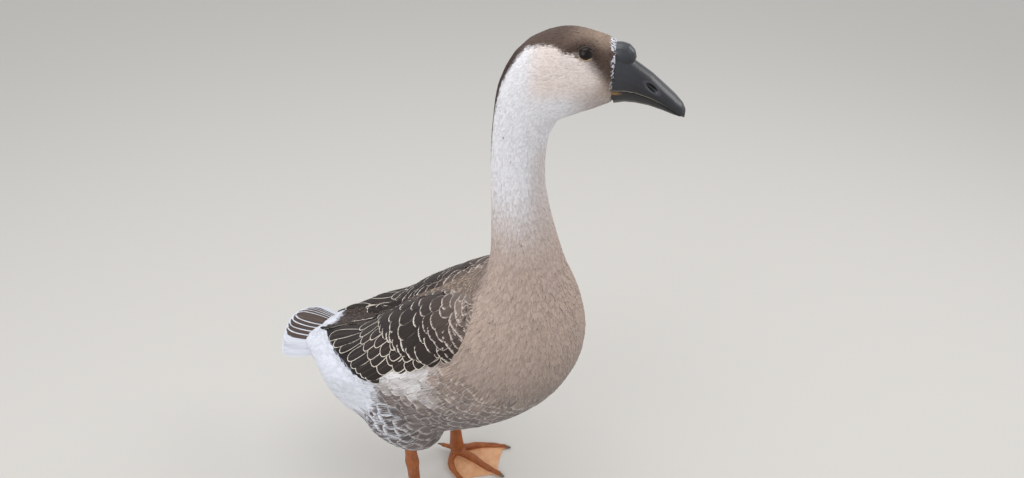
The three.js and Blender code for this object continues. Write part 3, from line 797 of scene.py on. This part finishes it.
# The breast's feathers run a little way over the front of the wing.
wing_front = on_wing & (ahead[triangles[:, 0]] > 0)
spacing = np.interp(face_place, ROOTS_AT, ROOTS_APART)
spacing = np.where(np.char.startswith(face_owner, "thigh"), np.maximum(spacing, THIGH_APART), spacing)
eye_boxes = [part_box(f"eye_{side}") for side in SIDES]
eye_gap = np.min([np.linalg.norm(centres - (low + high) / 2, axis=1) for low, high in eye_boxes], axis=0)
soft_plumage = plumage("down-soft plumage", 3, 0.05, 0.0, 0.8, 0.0)
body_plumage = plumage("contour plumage", 17, 0.5, 0.0, 0.8, 0.25, 0.8)
tuft = tuft_shape()
body_vane = vane_shape(6, 5)
mantle_half = MANTLE_HALF - MANTLE_TAPER * np.maximum(face_place - MANTLE_TAPERS_AT, 0)
mantle = (face_place > MANTLE_FROM) & (face_place < MANTLE_TO) & (np.abs(face_angle) < mantle_half)
spacing = np.where(mantle, MANTLE_APART, spacing)

# name, feather, from and to along the spine, length and width in gaps between roots, how much
# their shades vary, material, slot and the solids it stands for
for name, shape, low, high, stretch, slender, varied, material, slot_name, nodes in (
    ("coat_face", tuft, 13.4, 16.2, 4.4, 2.0, 0.2, soft_plumage, "plumage_head", ("head",)),
    ("coat_nape", tuft, 10.8, 13.4, 4.8, 2.0, 0.2, soft_plumage, "plumage_head", ("head", "neck")),
    ("coat_neck", tuft, 7.6, 10.8, 5.2, 2.1, 0.2, soft_plumage, "plumage_neck", ("neck",)),
    ("coat_breast", tuft, 5.0, 7.6, 6.0, 2.1, 0.3, soft_plumage, "plumage_body", ("trunk", "neck")),
    ("coat_mantle", body_vane, 2.6, 7.2, 3.3, 1.8, 0.3, body_plumage, "plumage_body", ("trunk",)),
    ("coat_flank", body_vane, 2.6, 5.0, 2.9, 2.1, 0.3, body_plumage, "plumage_body", ("trunk",)),
    ("coat_vent", tuft, -0.1, 2.6, 6.5, 2.1, 0.2, soft_plumage, "plumage_body", ("trunk",)),
):
    part = (face_place >= low) & (face_place < high) & (eye_gap > EYE_BARE * MM) & (~on_wing | wing_front)
    part &= mantle if name == "coat_mantle" else ~mantle
    roots = coat_roots(part, stretch, slender, varied)
    roots["patch_at"] = unwrapped(roots["at"], low, high)
    plant(name, shape, roots, skin_tree, material, nodes, coat_top_of_face)

# ---------------------------------------------------------------------------------------------
# The folded wings: stiff quills and the coverts that shingle over their roots, laid in rows over
# a firm bed. Each row is given by the tips of its feathers, seen from half way between the side
# and above: first the one nearest the back, then the lowest, in mm along the body and up it.
QUILL_DARK, COVERT_DARK = "#28201d", "#2e2622"
CREAM_RIM, PALE_RIM = "#ddd3c6", "#c2b5ac"
# The primaries' own dark brown drawn near black, as painted shadow where they lie under the other quills
# and along the wing's rear edge.
PRIMARY_AND_SHADOW_BLACK = "#151110"
SECONDARY_TIPS = (
    (-174, 178), (-138, 167), (-118, 163), (-85, 157), (-65, 149), (-51, 145), (-38, 144),
    (-26, 141),
)
TERTIAL_TIPS = ((-206, 184), (-178, 191), (-150, 200), (-125, 212))
SHADOW_RIM_SHOWS = 4  # how far the painted-shadow row peeps out behind and below the secondaries
SHADOW_RIM_TIPS = tuple((x - SHADOW_RIM_SHOWS, w - SHADOW_RIM_SHOWS) for x, w in SECONDARY_TIPS[:-1])
# tips, number of feathers, length, width, from and to how far they point below straight back in
# degrees, base colour, rim colour, rim width in mm, how deep under the wing's face the tips lie
WING_ROWS = [
    (((-188, 188), (-196, 172)), 3, 92, 18, 26, 22, PRIMARY_AND_SHADOW_BLACK, QUILL_DARK, 0.6, 4.9),
    # Near-black primaries whose tips show along the rear edge as the painted shadow gap over the vent.
    (SHADOW_RIM_TIPS, 13, 60, 22, 20, 48, PRIMARY_AND_SHADOW_BLACK, PRIMARY_AND_SHADOW_BLACK, 0.5, 4.8),
    (SECONDARY_TIPS, 10, 68, 19, 19, 52, QUILL_DARK, CREAM_RIM, 0.9, 3.9),
    (((-96, 197), (-14, 160)), 7, 46, 23, 25, 50, COVERT_DARK, CREAM_RIM, 1.1, 3.4),
    (((-52, 194), (-18, 183), (14, 170)), 5, 38, 20, 32, 50, COVERT_DARK, CREAM_RIM, 1.1, 3.1),
    (((-14, 206), (8, 171)), 4, 32, 19, 38, 50, COVERT_DARK, CREAM_RIM, 1.1, 2.9),
    (((17, 208), (26, 177)), 4, 28, 16, 38, 50, COVERT_DARK, CREAM_RIM, 1.1, 2.7),
    (((48, 209), (40, 184)), 4, 24, 14, 38, 50, COVERT_DARK, CREAM_RIM, 1.0, 2.5),
    (((68, 212), (58, 190)), 4, 22, 13, 40, 50, COVERT_DARK, PALE_RIM, 1.0, 2.3),
    (((88, 222), (74, 200)), 4, 20, 12, 42, 50, COVERT_DARK, PALE_RIM, 1.0, 2.1),
    (TERTIAL_TIPS, 5, 136, 25, 18, 20, QUILL_DARK, CREAM_RIM, 0.8, 2.6),
    (((-160, 204), (-132, 214), (-104, 226)), 4, 90, 24, 14, 18, QUILL_DARK, QUILL_DARK, 0.8, 2.3),
]
# The scapulars: broad, blunt feathers whose tips join into long curved rows, paler towards the
# shoulder. The rear row comes first, and each runs from near the back down to its lowest tip.
SCAPULAR_ROWS = (
    ((-100, 226), (-66, 217), (-53, 212), (-36, 205), (-16, 201)),
    ((-82, 238), (-41, 228), (-22, 214), (-8, 200), (12, 193)),
    ((-60, 248), (-30, 240), (-3, 220), (6, 203), (24, 196), (43, 194)),
    ((-38, 257), (-7, 246), (16, 231), (37, 219), (51, 212), (65, 205), (76, 206)),
    ((-22, 264), (2, 254), (18, 244), (34, 230), (49, 225), (62, 218), (79, 210)),
    ((-8, 276), (11, 270), (32, 253), (47, 237), (63, 228), (75, 222), (82, 216)),
    ((8, 284), (35, 275), (48, 257), (62, 242), (78, 231), (87, 223)),
    ((24, 288), (45, 277), (59, 260), (73, 245), (84, 236), (90, 231)),
    ((38, 291), (57, 279), (70, 262), (81, 250), (92, 240)),
    ((48, 294), (66, 281), (79, 267), (88, 256), (96, 247)),
    ((58, 297), (76, 284), (87, 271), (94, 262), (100, 255)),
    ((68, 300), (86, 288), (96, 277), (104, 266)),
    ((78, 303), (96, 292), (108, 278)),
)
SCAPULARS_IN_ROW = 7
SCAPULAR_SHADES = (
    "#2b2320", "#2d2522", "#2f2724", "#332a27", "#3a312d", "#4a3f3a", "#5d504a", "#6f615a",
    "#7c6e66", "#83756d", "#887a72", "#8a7c74", "#8c7e76",
)
scapulars = []
for row, (tips, shade) in enumerate(zip(SCAPULAR_ROWS, SCAPULAR_SHADES)):
    share = row / (len(SCAPULAR_ROWS) - 1)
    scapulars.append((
        tips, SCAPULARS_IN_ROW, 46 - 24 * share, 36 - 12 * share, 34 + 8 * share, 52 + 8 * share,
        shade, CREAM_RIM if row < 4 else PALE_RIM, 1.7 + 0.8 * share, 2.0 - 2.0 * share,
    ))
WING_MIDDLE, WING_FRONT = (20, 225), 55
RAY_FROM, SLIDE_STEPS = 0.6, 60
STRAY_DEG, STRAY_TIP = 2.0, 1.2
ROOT_UNDER = 1.1  # how much deeper a feather's root lies than its tip


def wing_spot(side, x, w):
    """The wing's outer face at a place on its chart, or as near that place as the wing reaches."""
    sign = SIDES[side]
    out = Vector((0, sign, 1)).normalized()
    up = Vector((0, -sign, 1)).normalized()
    for step in range(SLIDE_STEPS):
        spot = Vector((x, w)).lerp(Vector(WING_MIDDLE), step / SLIDE_STEPS)
        start = (Vector((spot.x, 0, 0)) + up * spot.y) * MM
        tree = wing_surface[side] if x > WING_FRONT else wing_only[side]
        hit, normal = tree.ray_cast(start + out * RAY_FROM, -out)[:2]
        if hit:
            return hit, normal


def gathered(feathers):
    """Turns a list of feathers into arrays, and gives each one its own patch of the bake's map."""
    roots = {key: np.array([feather[key] for feather in feathers]) for key in feathers[0]}
    count = len(feathers)
    across = math.ceil(math.sqrt(count))
    cell = np.arange(count)
    roots["jitter"] = chance.random(count)
    roots["patch_at"] = (np.stack([cell % across, cell // across], 1) + 0.5) / across
    roots["patch"] = np.full(count, 0.8 / across)
    return roots


def wing_roots(side, rows, roll):
    """Roots, sizes and colours of one wing's feathers, row by row, and how far each one's edge
    lies over its neighbour."""
    sign = SIDES[side]
    up = Vector((0, -sign, 1)).normalized()
    feathers = []
    for tips, count, length, width, from_deg, to_deg, shade, rim, rim_mm, sunk in rows:
        for share in np.linspace(0, 1, count):
            x, w = (np.interp(share * (len(tips) - 1), range(len(tips)), axis) for axis in zip(*tips))
            lean = math.radians(from_deg + (to_deg - from_deg) * share + chance.normal(0, STRAY_DEG))
            tip, normal = wing_spot(side, x + chance.normal(0, STRAY_TIP), w)
            lie = Vector((-math.cos(lean), 0, 0)) - up * math.sin(lean)
            lie = (lie - normal * lie.dot(normal)).normalized()
            long = length * (0.95 + 0.1 * chance.random())
            root, normal = wing_surface[side].find_nearest(tip - lie * long * MM)[:2]
            bright = 0.9 + 0.2 * chance.random()
            feathers.append({
                "at": root[:], "normal": normal[:], "lie": (tip - root)[:],
                "length": (tip - root).length / MM, "width": width * (0.95 + 0.1 * chance.random()),
                "lift": -sunk - WING_SWELL, "base_lift": -sunk - WING_SWELL - ROOT_UNDER,
                "camber": 0.5, "roll": roll * sign, "base": [c * bright for c in linear(shade)[:3]],
                "edge": [*linear(rim)[:3], rim_mm / (width / 2)],
            })
    return gathered(feathers)


quill_plumage = plumage("wing quills and coverts", 40, 0.2, 0.04, 0.25, 0.1)
shoulder_plumage = plumage("shoulder feathers", 30, 0.25, 0.0, 0.7, 0.1, 0.86)
quill_vane = vane_shape(8, 10)
for name, rows, roll, material in (
    ("feathers_wing", WING_ROWS, 0.35, quill_plumage),
    ("feathers_shoulder", scapulars, 0.15, shoulder_plumage),
):
    for side in SIDES:
        plant(
            f"{name}_{side}", quill_vane, wing_roots(side, rows, roll), wing_surface[side], material,
            (f"wing_{side}",),
        )

# ---------------------------------------------------------------------------------------------
# The tail: a low fan of stiff brown vanes rimmed and tipped with white, the outer ones all white,
# each lying a little over its outer neighbour. The near side hangs and the far one is held up.
TAIL_ROOT = (-151.3, 254)
TAIL_SLOPE, TAIL_YAW = math.radians(12), math.radians(-5)
TAIL_REACH, TAIL_HALF = (24, 117), (34, 46)
TAIL_DROOP = {"left": (24, 14), "right": (24, 32)}
TAIL_ROUNDED = 0.1  # how much shorter the outermost vanes are
ROOTS_IN = 0.85  # how much closer together the vanes' roots lie than the fan's own width
TAIL_VANES, TAIL_VANE_WIDE = 14, 27
TAIL_WHITE_FROM = 0.6  # the vanes further out than this are white
BED_WIDE, BED_LONG = 1.4, 0.75  # how far the bed under the vanes reaches past them
TAIL_DOME = 3.6  # how far the middle vanes lie over the outermost ones
TAIL_BROWN = "#544741"


def tail_spot(across, share):
    """A place on the fan: across from -1 to 1, and share of the way from its root to its tip."""
    reach, half, droop = (
        start + (end - start) * share
        for start, end in (TAIL_REACH, TAIL_HALF, TAIL_DROOP["left" if across > 0 else "right"])
    )
    x, y = -reach * math.cos(TAIL_SLOPE), across * half
    return Vector((
        TAIL_ROOT[0] + x * math.cos(TAIL_YAW) - y * math.sin(TAIL_YAW),
        x * math.sin(TAIL_YAW) + y * math.cos(TAIL_YAW),
        TAIL_ROOT[1] - reach * math.sin(TAIL_SLOPE) - droop * across * across,
    )) * MM


bm = bmesh.new()
bmesh.ops.create_grid(bm, x_segments=30, y_segments=20, size=1)
for vertex in bm.verts:
    vertex.co = tail_spot(BED_WIDE * vertex.co.x, 0.5 + BED_LONG * vertex.co.y)
bmesh.ops.recalc_face_normals(bm, faces=bm.faces)
bm.faces.ensure_lookup_table()
if bm.faces[0].normal.z < 0:
    bmesh.ops.reverse_faces(bm, faces=bm.faces)
covert_bed = bm.copy()
tail_bed = tree_of(bm)
vanes = []
for rank in sorted(range(TAIL_VANES), key=lambda i: -abs(i - (TAIL_VANES - 1) / 2)):
    across = 2 * rank / (TAIL_VANES - 1) - 1
    root, tip = tail_spot(ROOTS_IN * across, 0), tail_spot(across, 1 - TAIL_ROUNDED * across * across)
    bright = 0.92 + 0.16 * chance.random()
    shade = WHITE if abs(across) > TAIL_WHITE_FROM else TAIL_BROWN
    dome = TAIL_DOME * (1 - abs(across))
    vanes.append({
        "at": root[:], "normal": tail_bed.find_nearest(root)[1][:], "lie": (tip - root)[:],
        "length": (tip - root).length / MM, "width": TAIL_VANE_WIDE, "lift": dome, "base_lift": dome,
        "camber": 0.3, "roll": 0.2 * math.copysign(1, -across),
        "base": [c * bright for c in linear(shade)[:3]], "edge": [*linear(WHITE)[:3], 0.11],
    })
tail_plumage = plumage("tail quills", 44, 0.2, 0.1, 0.4, 0.1)
plant("feathers_tail", quill_vane, gathered(vanes), tail_bed, tail_plumage, ("tail",))

# ---------------------------------------------------------------------------------------------
# Long white coverts that close the gap between the rump and the underside of the tail.
COVERT_TO, COVERT_APART, COVERT_WIDE, COVERT_VARIED = 0.75, 8.0, 19, 0.2
COVERTS_FROM, LONG_FROM = math.radians(110), math.radians(140)  # from the middle of the back
COVERT_SHORT, COVERT_LONG = 10, 40
COVERT_LOFT = 3.4  # how much higher they stand than the coat
COVERT_DROP = 2.0  # how far under the fan's own face the coverts' bed lies

bmesh.ops.reverse_faces(covert_bed, faces=covert_bed.faces)
bmesh.ops.translate(covert_bed, verts=covert_bed.verts, vec=(0, 0, -COVERT_DROP * MM))
covert_bed.from_mesh(skin.data)
rear_bed = tree_of(covert_bed)
spacing[:] = COVERT_APART
roots = coat_roots((face_place < COVERT_TO) & (np.abs(face_angle) > COVERTS_FROM), 1, 1, COVERT_VARIED)
_, round_at, _ = locate(roots["at"])
long = np.where(np.abs(round_at) > LONG_FROM, COVERT_LONG, COVERT_SHORT)
roots["length"] = long * (0.9 + 0.2 * roots["jitter"])
roots["width"] = np.full(len(long), COVERT_WIDE)
roots["patch_at"] = unwrapped(roots["at"], 0, COVERT_TO)
roots["lift"] *= COVERT_LOFT
roots["base_lift"] *= COVERT_LOFT
plant("coat_rump", body_vane, roots, rear_bed, body_plumage, ("trunk",))

# ---------------------------------------------------------------------------------------------
# The eyes: dark brown, wet balls, each in a thin tan lid that is part of the skin. In mm.
EYE_AT = {"left": (176.8, 29.1, 715.4), "right": (183.5, -1.4, 715.4)}
EYE_RADIUS = 7.8
EYE_LOOK = (0.12, 0.9, 0.4)  # forwards, sideways, upwards
PUPIL, IRIS_TO, IRIS, CORNEA_RIM = 3.4, (5.0, 5.6), "#241611", "#0c0908"
LID_HALF_WIDE, LID_HALF_HIGH = math.radians(52), math.radians(46)
LID_CORNER = math.radians(7)
LID_TUBE, LID_PROUD = 0.9, 0.1
LID_TAN, LID_DARK = "#9a8468", "#2a211d"

eye_wet = painted_material("wet eye", {"Roughness": 0.03, "Specular IOR Level": 0.25})
lid_skin = painted_material("bare eyelid", {"Roughness": 0.5})


def paint(piece, colours):
    """Stores a colour for each vertex."""
    layer = piece.data.attributes.new("plume", "FLOAT_COLOR", "POINT")
    colours = np.concatenate([colours, np.ones((len(colours), 1))], 1)
    layer.data.foreach_set("color", colours.ravel().astype(np.float32))


lids = []
for side, centre in EYE_AT.items():
    sign = SIDES[side]
    forward, aside, up = EYE_LOOK
    look = Vector((forward, sign * aside, up)).normalized()
    look.rotate(Matrix.Rotation(TURN, 3, "Z"))
    frame_turn = look.to_track_quat("Z", "Y").to_matrix()
    bm = bmesh.new()
    bmesh.ops.create_uvsphere(bm, u_segments=48, v_segments=32, radius=EYE_RADIUS * MM)
    bmesh.ops.transform(bm, matrix=frame_turn.to_4x4(), verts=bm.verts)
    bmesh.ops.translate(bm, verts=bm.verts, vec=Vector(centre) * MM)
    eye = add_piece(f"eyeball_{side}", bm, [eye_wet])
    spots = array_of(eye.data.vertices, "co", 3) / MM - centre
    facing = spots @ np.array(look) / EYE_RADIUS
    off_axis = EYE_RADIUS * np.sqrt(np.clip(1 - facing**2, 0, 1))
    in_iris = ease(off_axis, PUPIL - 0.2, PUPIL + 0.3) * (1 - ease(off_axis, *IRIS_TO)) * (facing >= 0)
    paint(eye, mixed(CORNEA_RIM, IRIS, in_iris))
    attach(eye, "root")
    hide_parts(f"eye_{side}")
    # The lid: a ring of round section on the ball, widest fore and aft and drawn out at its corners.
    backward = Vector((-1, 0, 0))
    backward.rotate(Matrix.Rotation(TURN, 3, "Z"))
    backward = (backward - look * backward.dot(look)).normalized()
    upward = look.cross(backward) * -sign
    upward = upward if upward.z > 0 else -upward
    bm = bmesh.new()
    bmesh.ops.create_grid(bm, x_segments=64, y_segments=8, size=1)
    for vertex in bm.verts:
        turn, angle = ((c + 1) * math.pi for c in vertex.co[:2])
        corner = abs(math.cos(turn)) ** 6 * LID_CORNER
        half = 1 / math.hypot(math.cos(turn) / LID_HALF_WIDE, math.sin(turn) / LID_HALF_HIGH) + corner
        out = backward * math.cos(turn) + upward * math.sin(turn)
        spot = look * math.cos(half) + out * math.sin(half)
        aside = look.cross(out).cross(spot).normalized()
        tube = (spot * math.sin(angle) + aside * math.cos(angle)) * LID_TUBE
        vertex.co = (Vector(centre) + spot * (EYE_RADIUS + LID_PROUD) + tube) * MM
    bmesh.ops.remove_doubles(bm, verts=bm.verts, dist=0.001 * MM)
    bmesh.ops.recalc_face_normals(bm, faces=bm.faces)
    lids.append(add_piece(f"lid_{side}", bm, []))

# ---------------------------------------------------------------------------------------------
# The bill: slate-black horn with a rounded knob, a cutting edge with a pale lip, a nail at the
# tip and a slit nostril. Fused and smoothed from the solid model, then tooled. In mm.
BILL_VOXEL = 0.6
SLATE, SLATE_PALE, SLATE_IN_SHADE, LIP, GAPE = "#191a1f", "#383a41", "#141518", "#8a8577", "#8a6436"
BILL_EDGE_X = (207.3, 216.7, 226.7, 238.7, 250.7, 260.7, 267.7, 271.2)
BILL_EDGE_Z = (684, 685, 684, 680.5, 675.5, 669.8, 664.5, 661.5)
NOSTRIL_AT, NOSTRIL_SLOPE, NOSTRIL_SHADOW = (240.3, 689.5), math.radians(-35), "#08080a"
NOSTRIL_HALF_LONG, NOSTRIL_HALF_HIGH = 6.6, 2.1
BASE_TUCK = 3.5  # how far the horn runs in under the feathers of the face
TUCK_X, TUCK_Z, PALE_BASE_X, KNOB_SHEEN_Z = (208, 211), (673, 680), (209, 232), (706, 716)
LIP_RISE, LIP_ENDS_X, GAPE_DROP, GAPE_X = 0.7, (236, 258), 2, (209, 217)
horn, horn_shader = new_material("slate bill horn", {
    "Roughness": 0.36, "Coat Weight": 0.25, "Coat Roughness": 0.3,
})
horn_at = add_node(horn, "ShaderNodeAttribute", {"attribute_name": "plume"})
horn_place = add_node(horn, "ShaderNodeTexCoord").outputs["Object"]
horn_mottle = add_node(horn, "ShaderNodeTexNoise", {"Scale": 260, "Detail": 6}, Vector=horn_place)
overlay = {"data_type": "RGBA", "blend_type": "OVERLAY", 0: 0.35}
horn_shade = add_node(horn, MIX, overlay, _6=horn_at, _7=horn_mottle)
horn_bump = add_node(horn, "ShaderNodeBump", {"Strength": 0.25, "Distance": 0.0003}, Height=horn_mottle)
link(horn_shader, Base_Color=horn_shade.outputs[2], Normal=horn_bump)

for name in ("bill_upper", "bill_lower"):
    bill = add_piece(f"horn_{name}", copy_of(name), [])
    remesh(bill, BILL_VOXEL, smoothing=14)
    bill.data.materials.append(horn)
    points = array_of(bill.data.vertices, "co", 3)
    x, y, z = straightened(points)
    tuck = (1 - ease(x, *TUCK_X)) * ease(z, *TUCK_Z) * BASE_TUCK * MM
    points[:, :2] -= tuck[:, None] * np.array([math.cos(TURN), math.sin(TURN)])
    reshape(bill, points)
    # The horn is paler towards the bill's base, and paler over the top of the knob as a painted highlight.
    pale_base_and_knob_sheen = 0.35 * (1 - ease(x, *PALE_BASE_X)) + 0.25 * ease(z, *KNOB_SHEEN_Z)
    over_edge = z - np.interp(x, BILL_EDGE_X, BILL_EDGE_Z)
    if name == "bill_upper":
        lip = (1 - ease(np.abs(over_edge - LIP_RISE), 0.2, 0.8)) * (1 - ease(x, *LIP_ENDS_X))
        # The nostril's opening is painted near black, as the shadow inside it, within a paler rim.
        slit_x, slit_z = x - NOSTRIL_AT[0], z - NOSTRIL_AT[1]
        slit = np.hypot(
            (slit_x * math.cos(NOSTRIL_SLOPE) + slit_z * math.sin(NOSTRIL_SLOPE)) / NOSTRIL_HALF_LONG,
            (slit_z * math.cos(NOSTRIL_SLOPE) - slit_x * math.sin(NOSTRIL_SLOPE)) / NOSTRIL_HALF_HIGH,
        )
        rim = 1 - ease(np.abs(slit - 1.25), 0.1, 0.4)
        layers = (LIP, lip * 0.7), (SLATE_PALE, rim * 0.8), (NOSTRIL_SHADOW, 1 - ease(slit, 0.75, 1.0))
    else:
        gape = (1 - ease(x, *GAPE_X)) * (1 - ease(np.abs(over_edge + GAPE_DROP), 0.5, 2))
        # The lower mandible is the same slate horn, painted darker for the shade it lies in under the
        # upper.
        layers = (SLATE_IN_SHADE, 0.95), (GAPE, gape)
    paint(bill, layered(SLATE, (SLATE_PALE, pale_base_and_knob_sheen), *layers))
    bill.data.shade_smooth()
    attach(bill, "root")
    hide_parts(name)

# ---------------------------------------------------------------------------------------------
# The claws: short, blunt, dark horn, one on each toe.
CLAW_HORN = "#6b5a4c"
claw_horn = new_material("claw horn", {"Base Color": linear(CLAW_HORN), "Roughness": 0.4})[0]
names = [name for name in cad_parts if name.startswith("claw")]
claws = add_piece("claws", copy_of(*names), [claw_horn])
rounded = claws.modifiers.new("rounded", "SUBSURF")
rounded.levels = rounded.render_levels = 2
settle(claws)
claws.data.shade_smooth()
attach(claws, "root")
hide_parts(*names)

# ---------------------------------------------------------------------------------------------
# The hide's colours: the plumage's own, made a little darker than the feathers over it as painted
# shade under the coat, and the shanks, feet and lids joined to it.
HIDE_PAINTED_SHADE = 0.92

under, _, _ = markings(corners, np.zeros(len(corners)))
paint(skin, mixed(under, COVERT_DARK, on_bed) * HIDE_PAINTED_SHADE)
for index, (material, parts) in enumerate(((hide, ()), (scaly, (legs,)), (lid_skin, lids))):
    skin.data.materials.append(material)
    for part in parts:
        part.data.polygons.foreach_set("material_index", np.full(len(part.data.polygons), index, np.int32))
for lid, centre in zip(lids, EYE_AT.values()):
    above = array_of(lid.data.vertices, "co", 3)[:, 2] / MM - centre[2]
    paint(lid, mixed(LID_TAN, LID_DARK, ease(above, 1, 4)))
bm = bmesh.new()
for part in (skin, legs, *lids):
    bm.from_mesh(part.data)
bm.to_mesh(skin.data)
bm.free()
for part in (legs, *lids):
    bpy.data.objects.remove(part)
skin.data.shade_smooth()
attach(skin, "root")
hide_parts(*COAT_DEPTH, *(f"{part}_{side}" for part in ("leg", "foot") for side in LEG_AT))
